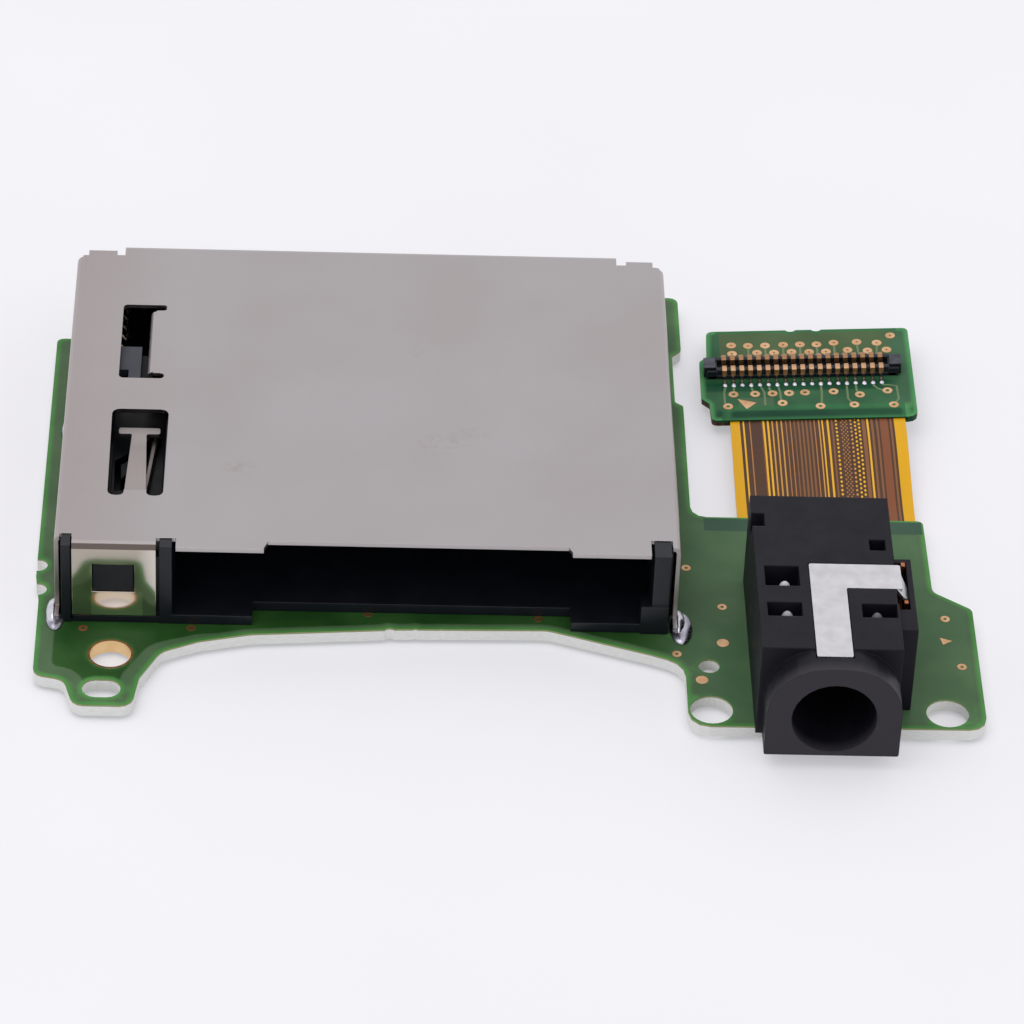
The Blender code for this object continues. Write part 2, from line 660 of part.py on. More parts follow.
def cam_track():
    """The groove round the heart cam: its outer edge, which starts at the pin's tip."""
    tip_x, tip_y = PIN_TIP_X, PIN_TIP_Y
    in_x, in_y = PIN_TIP_X - PIN_SWING_X, PIN_TIP_Y - TRAVEL
    half = PIN_R + RUN
    return [
        (tip_x - half, tip_y + 0.45), (tip_x + half, tip_y + 0.45), (tip_x + half, tip_y - 0.25),
        (in_x + half + 0.07, in_y - 0.1), (in_x + 0.2, in_y - 0.45), (in_x - 0.84, in_y - 0.45),
        (in_x - 0.92, tip_y - 1.3), (tip_x - half - 0.19, tip_y - 0.05),
    ]


def heart_cam():
    in_x, in_y = PIN_TIP_X - PIN_SWING_X, PIN_TIP_Y - TRAVEL
    return [
        (PIN_TIP_X - PIN_R - 0.22, PIN_TIP_Y - 0.55), (in_x - PIN_R + 0.01, in_y + 0.35),
        (in_x - 0.39, in_y + 0.7), (in_x - 0.59, in_y + 0.35), (in_x - 0.64, in_y + 1.4),
    ]


def make_slider(material):
    x0 = CHANNEL_X0 + RUN
    x1 = CHANNEL_X1 - RUN
    rail = PIN_TIP_X - 1.82
    block_x = TAB_X - 0.32
    block_y = SLIDER_Y1 - 2.5
    block_top = COVER_UNDER - 0.4
    shapes = [
        box(x0, x1, SLIDER_Y0, SLIDER_Y1, SLIDER_Z, SLIDER_TOP),
        box(x0, rail, SLIDER_Y0, block_y, SLIDER_TOP - 0.3, SLIDER_TOP + 0.35),
        box(x0, block_x, block_y, SLIDER_Y1, SLIDER_TOP - 0.3, block_top),
        box(block_x - 0.2, CARD_X0 + 1.2, SLIDER_Y1 - ARM_W, SLIDER_Y1, SLIDER_Z, TAB_LOW - 0.2),
        rod(SPRING_X, SLIDER_Y1 - 0.2, SPRING_Z, BOSS_R, BOSS_L + 0.2, "y", 12),
    ]
    floor = SLIDER_TOP - 0.8
    cuts = [
        outline(cam_track(), floor, COVER_TOP),
        box(x0 - 1.0, block_x - 0.55, block_y - 0.1, block_y + 0.75, SLIDER_TOP + 0.35, COVER_TOP),
    ]
    piece = solid("eject_slider", material, shapes, cuts)
    combine(piece, [outline(heart_cam(), floor - 0.1, SLIDER_TOP)], "UNION")


def make_eject_spring(material):
    """A coil between the slider's rear face and the housing's rear wall."""
    start = SLIDER_Y1 + SPRING_WIRE_R + SEAT
    end = REAR_WALL_Y0 - SPRING_WIRE_R - SEAT
    steps = round((end - start) / SPRING_PITCH * 12)
    points = []
    for i in range(steps + 1):
        angle = 2.0 * math.pi * i / 12
        points.append((
            SPRING_X + SPRING_R * math.cos(angle),
            start + (end - start) * i / steps,
            SPRING_Z + SPRING_R * math.sin(angle),
        ))
    bent_wire("eject_spring", material, points, SPRING_WIRE_R)


def make_cam_pin(material):
    """A staple-shaped wire: its front leg turns in the housing, its rear leg runs in the cam."""
    front = Vector((PIN_X, PIN_Y, PIN_Z))
    rear = Vector((PIN_TIP_X, PIN_TIP_Y, PIN_Z))
    along = (rear - front).normalized()
    down = Vector((0.0, 0.0, -1.0))
    bend = 0.22
    points = [front + down * 1.2]
    for corner, first, second in ((front, down, along), (rear, -along, down)):
        points.append(corner + first * bend)
        points.append(corner + (first + second) * bend * 0.29)
        points.append(corner + second * bend)
    points.append(rear + down * (PIN_Z - SLIDER_TOP + 0.7))
    bent_wire("cam_pin", material, points, PIN_R)


# Plug connector

def make_plug(plastic, metal):
    base = SEAT
    wall = 0.3
    end = 0.45
    top = PLUG_H - 0.05
    shapes = [
        box(PLUG_X0, PLUG_X1, PLUG_Y0, PLUG_Y1, base, 0.2),
        box(PLUG_X0 + end, PLUG_X1 - end, PLUG_Y0 + 0.04, PLUG_Y0 + wall, base, top),
        box(PLUG_X0 + end, PLUG_X1 - end, PLUG_Y1 - wall, PLUG_Y1 - 0.04, base, top),
        box(PLUG_X0, PLUG_X0 + end + 0.05, PLUG_Y0 + 0.02, PLUG_Y1 - 0.02, base, PLUG_H - 0.12),
        box(PLUG_X1 - end - 0.05, PLUG_X1, PLUG_Y0 + 0.02, PLUG_Y1 - 0.02, base, PLUG_H - 0.12),
    ]
    terminal = [
        (-0.6, 0.04), (0.15, 0.04), (0.15, 0.3), (wall + 0.06, 0.3), (wall + 0.06, PLUG_H),
        (-0.05, PLUG_H), (-0.05, 0.14), (-0.6, 0.14),
    ]
    for i in range(PLUG_POSITIONS):
        x = PLUG_FIRST_X + PLUG_PITCH * i
        shapes.append(outline([(PLUG_Y0 + a, b) for a, b in terminal], x - 0.11, x + 0.11, "x"))
        shapes.append(outline([(PLUG_Y1 - a, b) for a, b in terminal], x - 0.11, x + 0.11, "x"))
    tilt(solid("plug_housing", plastic, shapes))
    y0 = PLUG_Y0 + 0.2
    y1 = PLUG_Y1 - 0.2
    under = PLUG_H - 0.12 + SEAT
    for name, outer, inner in (("plug_anchor_left", PLUG_X0, PLUG_X0 + 0.42), ("plug_anchor_right", PLUG_X1, PLUG_X1 - 0.42)):
        out = -1.0 if outer < inner else 1.0
        skirt = sorted((outer + out * SEAT, outer + out * 0.12))
        cap = sorted((outer + out * 0.12, inner))
        tilt(solid(name, metal, [
            box(cap[0], cap[1], y0, y1, under, PLUG_H),
            box(skirt[0], skirt[1], y0, y1, SEAT, PLUG_H),
        ]))


# Headphone jack

def make_jack(material):
    half = BORE_R + 1.05
    arch = rounded([
        (BORE_X - half, SEAT, 0.1), (BORE_X + half, SEAT, 0.1),
        (BORE_X + half, JACK_TOP - 0.01, 2.4), (BORE_X - half, JACK_TOP - 0.01, 2.4),
    ], 6)
    front = JACK_FRONT
    high = JACK_TOP + 1.0
    shapes = [
        box(JACK_X0, JACK_X1, front + NOSE_L, JACK_REAR, SEAT, JACK_TOP),
        outline(arch, front, front + NOSE_L + 0.5, "y"),
        box(JACK_X1 - 0.3, JACK_X1 + 0.75, front + 3.1, front + 7.95, SEAT, JACK_TOP - 0.3),
    ]
    left_well = (JACK_X0 + 0.35, BORE_X - 1.29)
    right_well = (BORE_X + 1.23, JACK_X1 - 0.1)
    arm_y0 = front + 5.5
    strip = [
        (BORE_X - 0.89, front + 0.84), (BORE_X + 0.71, front + 0.84), (BORE_X + 0.71, arm_y0),
        (JACK_X1 - 0.02, arm_y0), (JACK_X1 - 0.02, front + 7.2), (BORE_X - 0.89, front + 7.2),
    ]
    cuts = [
        rod(BORE_X, front - 1.0, BORE_Z, BORE_R, JACK_L + 0.4, "y", 28),
        box(JACK_X0 - 1.0, JACK_X0 + 0.55, JACK_REAR - 2.15, JACK_REAR - 1.25, JACK_TOP - 0.95, high),
        box(JACK_X1 - 1.0, JACK_X1 - 0.3, JACK_REAR - 3.7, JACK_REAR - 2.95, JACK_TOP - 0.95, high),
        box(*left_well, TIP_Y - 0.36, TIP_Y + 1.0, -1.0, high),
        box(*left_well, RING_Y - 0.38, RING_Y + 0.55, -1.0, high),
        box(*right_well, RING_Y - 0.38, RING_Y + 0.55, -1.0, high),
        box(JACK_X1 - 0.05, JACK_X1 + 0.52, front + 4.5, front + 7.7, BORE_Z + 0.3, high),
        outline(strip, JACK_TOP - STRIP_T - SEAT, high),
    ]
    solid("jack_housing", material, shapes, cuts)


def jack_blade(name, material, side, middle):
    """A contact: foot on the board, upright, hairpin top with a dimple, free end in the bore."""
    root = JACK_X0 + 0.45 if side > 0 else JACK_X1 - 0.2
    top = JACK_TOP - 0.65
    t = 0.14
    section = [
        (0.0, SEAT), (0.0, top - 0.4), (0.2, top - 0.1), (0.75, top), (0.95, top - 0.2), (1.02, top - 1.1),
        (1.02 - t, top - 1.1), (0.95 - t, top - 0.3), (0.7, top - t), (0.28, top - 0.1 - t),
        (t, top - 0.5), (t, SEAT + t), (0.4, SEAT + t), (0.4, SEAT),
    ]
    y0 = middle - JACK_BLADE_W / 2
    y1 = middle + JACK_BLADE_W / 2
    solid(name, material, [
        outline([(root + side * a, b) for a, b in section], y0, y1, "y"),
        ellipsoid((root + side * 0.75, middle, top - 0.05), (DIMPLE_R, DIMPLE_R, DIMPLE_H + 0.05)),
    ])


def ground_tongue(bend, front):
    """The strip's end: a tongue that slopes down and outwards into the side pocket."""
    root = bend - 0.25
    tip = bend + 0.27
    shape = outline(rounded([
        (root, front + 7.0), (bend - 0.03, front + 7.0), (tip, front + 6.1, 0.1), (tip, front + 5.3, 0.08),
        (bend + 0.03, front + 5.3, 0.08), (root, front + 5.56),
    ], 2), JACK_TOP - STRIP_T - 0.01, JACK_TOP - 0.01)
    for vertex in shape.verts:
        vertex.co.z -= TONGUE_SLOPE * max(vertex.co.x - root * MM, 0.0)
    return snapped(shape)


def make_jack_metal(plated, copper):
    front = JACK_FRONT
    under = JACK_TOP - STRIP_T
    left = BORE_X - 0.85
    right = BORE_X + 0.67
    bend = JACK_X1 + 0.22
    strip = [
        (left, front + 0.9), (right, front + 0.9), (right, front + 5.54), (bend, front + 5.54),
        (bend, front + 7.16), (left, front + 7.16),
    ]
    solid("jack_ground_contact", plated, [
        outline(rounded([(x, y, 0.08) for x, y in strip], 2), under, JACK_TOP),
        box(bend - STRIP_T, bend, front + 6.2, front + 7.1, JACK_TOP - 1.5, JACK_TOP - 0.05),
        ground_tongue(bend, front),
    ])
    jack_blade("jack_tip_contact", plated, 1, TIP_Y)
    jack_blade("jack_ring_contact", plated, 1, RING_Y)
    jack_blade("jack_mic_contact", plated, -1, RING_Y)
    low = BORE_Z + 0.3 + FREE
    clip = [
        (front + 5.0, JACK_TOP - 0.35), (front + 5.2, JACK_TOP - 0.35), (front + 5.2, low + 0.25),
        (front + 7.35, low + 0.25), (front + 7.35, JACK_TOP - 0.2), (front + 7.6, JACK_TOP - 0.2),
        (front + 7.6, low), (front + 5.0, low),
    ]
    solid("jack_switch_contact", copper, [outline(clip, bend + 0.08, bend + 0.25, "x")])


# Solder

def make_solder(material):
    for name, (left, front, rear) in leg_places().items():
        out = -1.0 if "left" in name else 1.0
        wall = left if out < 0 else left + SHEET
        middle = (front + rear) / 2
        bead = ellipsoid((wall, middle, 0.0), (0.42, LEG_W / 2 + 0.3, 0.5))
        inner = sorted((wall + out * SEAT, wall - out * 2.0))
        solid("solder_" + name, material, [bead], [
            box(inner[0], inner[1], middle - 3.0, middle + 3.0, -2.0, 2.0),
            box(wall - 2.0, wall + 2.0, middle - 3.0, middle + 3.0, -2.0, SEAT),
        ])


def build():
    board = finish("board_green", (0.03, 0.13, 0.05), 0.35, 0.0)
    black = finish("black_plastic", (0.012, 0.012, 0.014), 0.45, 0.0)
    steel = finish("spring_steel", (0.5, 0.5, 0.5), 0.3, 1.0)
    silver = finish("silver_plate", (0.75, 0.75, 0.77), 0.4, 1.0)
    make_main_board(board)
    make_plug_board(board)
    make_ribbon(finish("ribbon_film", (0.35, 0.18, 0.05), 0.4, 0.2))
    make_cover(finish("nickel_sheet", (0.42, 0.4, 0.38), 0.35, 1.0))
    make_housing(black)
    make_card_contacts(finish("gold_contact", (0.75, 0.5, 0.2), 0.3, 1.0))
    make_slider(finish("slider_plastic", (0.03, 0.035, 0.045), 0.4, 0.0))
    make_eject_spring(steel)
    make_cam_pin(steel)
    make_plug(black, silver)
    make_jack(black)
    make_jack_metal(silver, finish("copper_alloy", (0.5, 0.28, 0.16), 0.35, 1.0))
    make_solder(finish("solder_tin", (0.6, 0.6, 0.62), 0.25, 1.0))


for leftover in list(bpy.data.objects):
    bpy.data.objects.remove(leftover)
parts = bpy.data.collections.new("game_card_reader_module")
cutters = bpy.data.collections.new("cutters")
bpy.context.scene.collection.children.link(parts)
bpy.context.scene.collection.children.link(cutters)
# The frame's origin lies on the board's underside, below the middle of the whole.
board_corner = bpy.data.objects.new("board_corner", None)
board_corner.location = Vector((-BOARD_RIGHT / 2, -(JACK_FRONT + BOARD_REAR) / 2, BOARD_T)) * MM
build()
for built in parts.objects:
    built.parent = board_corner
parts.objects.link(board_corner)
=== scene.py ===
"""Looks of the game card reader module: materials, fine detail, camera, floor and light."""
import math

import bmesh
import bpy
from mathutils import Matrix, Vector
from mathutils.kdtree import KDTree


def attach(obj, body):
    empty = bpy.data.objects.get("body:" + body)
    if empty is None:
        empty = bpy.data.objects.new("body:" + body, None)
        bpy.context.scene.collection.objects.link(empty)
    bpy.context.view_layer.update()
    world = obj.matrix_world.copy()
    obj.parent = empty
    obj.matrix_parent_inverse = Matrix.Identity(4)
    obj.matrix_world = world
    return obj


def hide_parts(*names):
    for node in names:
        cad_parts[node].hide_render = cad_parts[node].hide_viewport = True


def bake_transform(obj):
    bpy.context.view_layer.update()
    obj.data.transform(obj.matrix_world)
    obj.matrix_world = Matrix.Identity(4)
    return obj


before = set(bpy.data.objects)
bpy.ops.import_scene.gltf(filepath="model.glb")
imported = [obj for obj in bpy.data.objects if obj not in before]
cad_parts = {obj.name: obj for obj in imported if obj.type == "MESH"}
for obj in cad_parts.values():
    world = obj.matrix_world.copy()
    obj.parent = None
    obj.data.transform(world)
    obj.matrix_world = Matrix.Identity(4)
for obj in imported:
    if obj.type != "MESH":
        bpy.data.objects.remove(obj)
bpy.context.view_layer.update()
bpy.context.scene.view_settings.view_transform = "Standard"
MM = 0.001
WELD = 0.0000005  # metres; closer points are one

# The object's own sizes below are millimetres from the board's left edge, its rear
# step and its component side. The frame's origin lies at this point of them.
ORIGIN = Vector((20.385, 0.25, -0.6))

SKIN = 0.09  # depth of the green layer on the boards' cut edge
PADS_Z = -0.004  # the underside of pads and copper, just inside the boards
SMALL_PADS_Z = -0.003
SCREW_HOLE = (3.46, -10.46)
FRONT_LEG_BEADS = ((0.98, -7.95, 0.42, 1.0), (27.98, -8.0, 0.5, 1.1))  # x, y and half sizes

DOT_PITCH = 0.279  # plated dots along the ribbon
RIBBON_BOUNDS = (30.7, 33.5, 35.6, 38.9)  # x where its three colour ramps meet
RIBBON_SKEW = 0.0071  # its tracks lean by this share
RIBBON_MIDDLE_Y = 4.4

FLAP_FRONT_Y = -8.12  # the cover's flap lies in front of this
FLAP_X = (1.6, 5.45)
FLAP_FOLD_Z = 3.95  # where it turns down
LEAF_X = (3.3, 5.3)
LEAF_Y = (-4.9, 1.24)
LEAF_TOP_Z = 4.19  # the bent leaf lies below this
COVER_WINDOW = (1.8, 6.0, -5.0, 2.0)  # x and y of the front window round the leaf

HOUSING_SHADE = (1.9, 6.0, -5.2, 2.4)  # x and y of the housing seen through that window
HOUSING_SHADE_Z = 4.0
SLIDER_STEP_Z = 3.2
SLIDER_FRONT_Y = 3.0
NOSE_Y = (-15.6, -16.2)  # where the jack's nose turns lighter

PLUG_X = (29.9, 38.74)
PLUG_Y = (10.35, 11.5)
TERMINALS = 19
TERMINAL_PITCH = 0.4
FIRST_TERMINAL_X = 30.72
SMALL_BOARD_SLANT = 3.0  # degrees

FEET_Y = 9.7  # where traces begin at the front row's feet

BACKDROP = (244, 243, 248)
FLOOR_Z = -0.0002  # metres, just under the board
FLOOR_GLOW = 0.44
SOFT_LIGHT = 0.86
PICTURE = 1024.0  # pixels across
FOCAL_LENGTH = 5328.086  # pixels
SENSOR = 36.0
CAMERA_PLACE = (12.6436, -187.4116, 144.0683)
CAMERA_TURNS = (37.5133, 2.6927, 2.4878)  # degrees: down, roll and to the right


def place(x, y, z):
    return (Vector((x, y, z)) - ORIGIN) * MM


def linear(*levels):
    """Levels of 0 to 255 as a linear colour."""
    shares = [level / 255 for level in levels]
    return [s / 12.92 if s <= 0.04045 else ((s + 0.055) / 1.055) ** 2.4 for s in shares] + [1.0]


# Materials

class Look:
    """A Principled material and short ways to add nodes to it."""

    def __init__(self, name, **sockets):
        self.material = bpy.data.materials.new(name)
        self.material.use_nodes = True
        self.tree = self.material.node_tree
        self.shader = self.tree.nodes["Principled BSDF"]
        for key, value in sockets.items():
            self.shader.inputs[key.replace("_", " ")].default_value = value
        self.edge = 0.0

    def add(self, kind, inputs, **settings):
        node = self.tree.nodes.new(kind)
        for key, value in settings.items():
            setattr(node, key, value)
        for key, value in inputs.items():
            self.link(value, node.inputs[key])
        return node

    def link(self, value, socket):
        if isinstance(value, bpy.types.NodeSocket):
            self.tree.links.new(value, socket)
        else:
            socket.default_value = value

    def to(self, key, value):
        self.link(value, self.shader.inputs[key])

    def mm(self):
        """Position in the object's own millimetres."""
        here = self.add("ShaderNodeTexCoord", {}).outputs["Object"]
        scaled = self.add("ShaderNodeVectorMath", {0: here, "Scale": 1000.0}, operation="SCALE")
        moved = self.add("ShaderNodeVectorMath", {0: scaled.outputs[0], 1: ORIGIN}, operation="ADD")
        return moved.outputs[0]

    def parts_of(self, vector):
        split = self.add("ShaderNodeSeparateXYZ", {0: vector})
        return split.outputs

    def noise(self, scale, detail, stretch=(1.0, 1.0, 1.0), shift=0.0):
        spread = self.add("ShaderNodeVectorMath", {0: self.mm(), 1: stretch}, operation="MULTIPLY")
        moved = self.add("ShaderNodeVectorMath", {
            0: spread.outputs[0], 1: (shift, shift, shift)}, operation="ADD")
        grain = self.add("ShaderNodeTexNoise", {
            "Vector": moved.outputs[0], "Scale": scale, "Detail": detail, "Roughness": 0.5})
        return grain.outputs["Fac"]

    def patches(self, scale, detail, low=0.0, high=1.0, stretch=(1.0, 1.0, 1.0)):
        """Noise stretched to run from low to high."""
        return self.span(self.noise(scale, detail, stretch), 0.3, 0.7, low, high)

    def math(self, operation, a, b=0.0, clamp=False):
        return self.add("ShaderNodeMath", {0: a, 1: b}, operation=operation, use_clamp=clamp).outputs[0]

    def squares(self, a, b):
        return self.math("ADD", self.math("POWER", a, 2.0), self.math("POWER", b, 2.0))

    def between(self, value, low, high):
        """1 where the value lies from low to high."""
        over = self.math("GREATER_THAN", value, low)
        return self.math("MULTIPLY", over, self.math("LESS_THAN", value, high))

    def inside(self, x, y, x0, x1, y0, y1):
        """1 in the rectangle."""
        return self.math("MULTIPLY", self.between(x, x0, x1), self.between(y, y0, y1))

    def flatness(self):
        """1 on flat faces that look up or down, 0 on upright ones."""
        normal = self.add("ShaderNodeNewGeometry", {}).outputs["True Normal"]
        return self.math("ABSOLUTE", self.parts_of(normal)["Z"])

    def span(self, value, low, high, to_low=0.0, to_high=1.0):
        return self.add("ShaderNodeMapRange", {
            0: value, 1: low, 2: high, 3: to_low, 4: to_high}, clamp=True).outputs[0]

    def mix(self, share, a, b):
        node = self.tree.nodes.new("ShaderNodeMix")
        node.data_type = "RGBA"
        for index, value in ((0, share), (6, a), (7, b)):
            self.link(value, node.inputs[index])
        return node.outputs[2]

    def steps(self, share, stops):
        node = self.tree.nodes.new("ShaderNodeValToRGB")
        node.color_ramp.interpolation = "CONSTANT"
        spots = node.color_ramp.elements
        while len(spots) < len(stops):
            spots.new(1.0)
        for spot, (position, colour) in zip(spots, stops):
            spot.position = position
            spot.color = colour
        self.link(share, node.inputs[0])
        return node.outputs[0]

    def relief(self, height, strength, distance):
        """Bump of the given depth in millimetres, over softened edges."""
        inputs = {"Height": height, "Strength": strength, "Distance": distance * MM}
        if self.edge:
            inputs["Normal"] = self.rounded()
        self.to("Normal", self.add("ShaderNodeBump", inputs).outputs[0])

    def rounded(self):
        """Normals of edges that catch the light as if they were round."""
        return self.add("ShaderNodeBevel", {"Radius": self.edge * MM}, samples=6).outputs[0]


class Mask(Look):
    """Solder mask: a painted highlight on the rim, pale over bare laminate, dark over copper."""

    def __init__(self, name):
        super().__init__(name, Specular_IOR_Level=0.12)
        self.x, self.y, self.z = self.parts_of(self.mm())
        wobble = self.math("MULTIPLY", self.math("SUBTRACT", self.noise(1.6, 2.0), 0.5), 0.06)
        self.rim = self.stored("rim", wobble)
        self.away = self.stored("outline", wobble)
        self.mottle = self.span(self.noise(0.35, 4.0), 0.35, 0.65)

    def stored(self, label, wobble):
        """Millimetres to the nearest edge of a kind, as dress_board stores them."""
        attribute = self.add("ShaderNodeAttribute", {}, attribute_name=label)
        return self.math("ADD", attribute.outputs["Fac"], wobble)

    def tones(self, first, second):
        return self.mix(self.mottle, linear(*first), linear(*second))

    def within(self, x0, x1, y0, y1):
        return self.inside(self.x, self.y, x0, x1, y0, y1)

    def finish(self, colour, cut, skin, step):
        """Adds the cut edge of the laminate below its skin, and a grainy surface.

        Where step isn't 0, the surface rises over copper that starts so far from the outline."""
        side = self.math("LESS_THAN", self.flatness(), 0.5)
        cut = self.mix(self.math("GREATER_THAN", self.z, -SKIN), cut, skin)
        self.to("Base Color", self.mix(side, colour, cut))
        self.to("Roughness", self.patches(1.1, 3.0, 0.32, 0.42))
        grain = self.math("ADD", self.noise(9.0, 2.0), self.math("MULTIPLY", self.noise(1.4, 3.0), 0.6))
        if step:
            grain = self.math("ADD", grain, self.span(self.away, step - 0.06, step + 0.06))
        self.relief(grain, 0.14, 0.02)
        return self.material


def main_board_look():
    look = Mask("main_board_mask")
    bright = look.tones((68, 128, 62), (86, 146, 78))
    pale = look.tones((70, 98, 66), (84, 110, 78))
    # Painted shade: the copper area left of the jack, in front of the card opening, is darker than the
    # right.
    left = look.tones((30, 66, 26), (46, 84, 38))
    right = look.tones((70, 102, 69), (84, 114, 79))
    dark = look.mix(look.span(look.x, 26.0, 29.0), left, right)
    inner = look.span(look.x, 4.0, 8.0, 0.72, 0.3)
    share = look.math("DIVIDE", look.math("SUBTRACT", look.away, inner), 0.1, clamp=True)
    front_tab = look.within(0.0, 6.0, -13.6, -11.6)
    outer = look.math("MAXIMUM", look.math("LESS_THAN", look.away, 0.5), front_tab)
    # Painted highlight: a bright green band along every rim, strongest on the outline.
    shine = look.span(look.rim, 0.08, 0.27, 1.0, 0.0)
    shine = look.math("MULTIPLY", shine, look.span(outer, 0.0, 1.0, 0.25, 1.0))
    colour = look.mix(shine, look.mix(share, pale, dark), bright)
    over_ribbon = look.within(29.3, 39.0, -0.98, -0.1)
    colour = look.mix(over_ribbon, colour, look.tones((54, 84, 66), (64, 92, 74)))
    # The cut edge: pale glass-fibre laminate, painted nearly white with the light that glows through
    # it.
    layers = look.patches(4.0, 3.0, stretch=(1.0, 1.0, 5.0))
    glass_and_glow = look.mix(layers, linear(236, 237, 234), linear(248, 249, 248))
    return look.finish(colour, glass_and_glow, linear(150, 158, 112), 0.72)


def plug_board_look():
    look = Mask("plug_board_mask")
    bright = look.tones((66, 136, 80), (84, 152, 92))
    base = look.tones((42, 85, 56), (56, 103, 68))
    olive = look.tones((68, 90, 56), (80, 102, 66))
    deep = look.tones((14, 62, 40), (26, 80, 50))
    behind_plug = look.math("MULTIPLY", look.span(look.y, 12.0, 12.2), look.between(look.x, 30.6, 38.6))
    colour = look.mix(behind_plug, base, olive)
    # Painted shade: dark green just in front of the plug's front feet and along the small board's front
    # edge.
    below_feet = look.math("MULTIPLY", look.span(look.y, 10.25, 9.95), look.span(look.y, 9.3, 9.5))
    colour = look.mix(below_feet, colour, deep)
    right_end = look.span(look.x, 38.1, 38.7)
    colour = look.mix(right_end, colour, look.tones((56, 94, 66), (66, 106, 76)))
    front = look.span(look.y, 8.1, 7.8)
    colour = look.mix(front, colour, deep)
    round_mark = look.within(31.3, 32.9, 7.95, 8.9)
    colour = look.mix(round_mark, colour, look.tones((66, 98, 68), (78, 110, 78)))
    # Painted highlight along the rims, weaker in the middle of the board.
    off_middle = look.math("ABSOLUTE", look.math("SUBTRACT", look.x, 34.65))
    middle = look.math("LESS_THAN", off_middle, 4.2)
    edge = look.mix(middle, bright, look.tones((44, 104, 62), (54, 116, 70)))
    colour = look.mix(look.span(look.rim, 0.08, 0.28), edge, colour)
    # Painted shade: the small board's cut edge is patchy dark brown under a dark green skin.
    shaded_cut_edge = look.mix(look.span(look.noise(5.0, 3.0), 0.45, 0.6), linear(52, 34, 22), linear(96, 66, 40))
    return look.finish(colour, shaded_cut_edge, linear(24, 66, 42), 0.0)


def gold_look():
    look = Look("gold_flash", Metallic=1.0)
    look.to("Base Color", look.mix(look.patches(2.5, 3.0), linear(205, 150, 70), linear(240, 196, 120)))
    look.to("Roughness", look.patches(5.0, 2.0, 0.24, 0.38))
    look.relief(look.noise(14.0, 2.0), 0.15, 0.01)
    return look.material


def plating_look():
    """A plated hole: pale gold wall, palest at its front, under a thin tarnished lip."""
    look = Look("hole_plating", Metallic=0.7)
    flat = look.math("GREATER_THAN", look.flatness(), 0.7)
    mottle = look.patches(2.5, 3.0)
    wall = look.mix(mottle, linear(240, 204, 146), linear(252, 222, 172))
    front = look.math("LESS_THAN", look.parts_of(look.mm())["Y"], -10.7)
    wall = look.mix(front, wall, linear(252, 246, 234))
    lip = look.mix(mottle, linear(112, 74, 40), linear(146, 102, 58))
    look.to("Base Color", look.mix(flat, wall, lip))
    look.to("Roughness", look.patches(5.0, 2.0, 0.34, 0.46))
    look.relief(look.noise(14.0, 2.0), 0.15, 0.01)
    return look.material


def terminal_look():
    """Gold terminals: painted light on top and towards the front, and brown painted shade at the sides.
    """
    look = Look("plug_terminal_gold", Metallic=0.75)
    # Painted light and shade: each face's colour is set by which way it looks, and tops darken away
    # from the front edge, fully on the rear row.
    upwards = look.parts_of(look.add("ShaderNodeNewGeometry", {}).outputs["Normal"])["Z"]
    mottle = look.patches(2.5, 3.0)
    top = look.mix(mottle, linear(204, 158, 116), linear(226, 180, 138))
    along = look.parts_of(look.mm())["Y"]
    half_shaded_top = look.math("MULTIPLY", look.span(along, 10.48, 10.58), 0.5)
    shaded_top = look.math("MAXIMUM", half_shaded_top, look.span(along, 11.0, 11.1))
    top = look.mix(shaded_top, top, linear(172, 128, 90))
    side = look.mix(mottle, linear(136, 100, 64), linear(156, 118, 78))
    look.to("Base Color", look.mix(look.span(upwards, 0.45, 0.75), side, top))
    look.to("Roughness", look.patches(5.0, 2.0, 0.3, 0.42))
    look.relief(look.noise(14.0, 2.0), 0.12, 0.01)
    return look.material


def pad_look():
    """Gold-flashed pads: matt, and darker in the shade in front of the cover."""
    look = Look("pad_gold", Metallic=0.6, Specular_IOR_Level=0.5)
    mottle = look.span(look.noise(1.2, 3.0), 0.35, 0.65)
    x, y, _ = look.parts_of(look.mm())
    shaded = look.math("MULTIPLY", look.between(y, -9.2, -7.0), look.math("LESS_THAN", x, 23.0))
    colour = look.mix(mottle, linear(206, 158, 112), linear(232, 190, 146))
    look.to("Base Color", look.mix(shaded, colour, linear(128, 88, 52)))
    look.to("Roughness", look.patches(6.0, 2.0, 0.36, 0.5))
    look.relief(look.noise(16.0, 2.0), 0.2, 0.008)
    return look.material


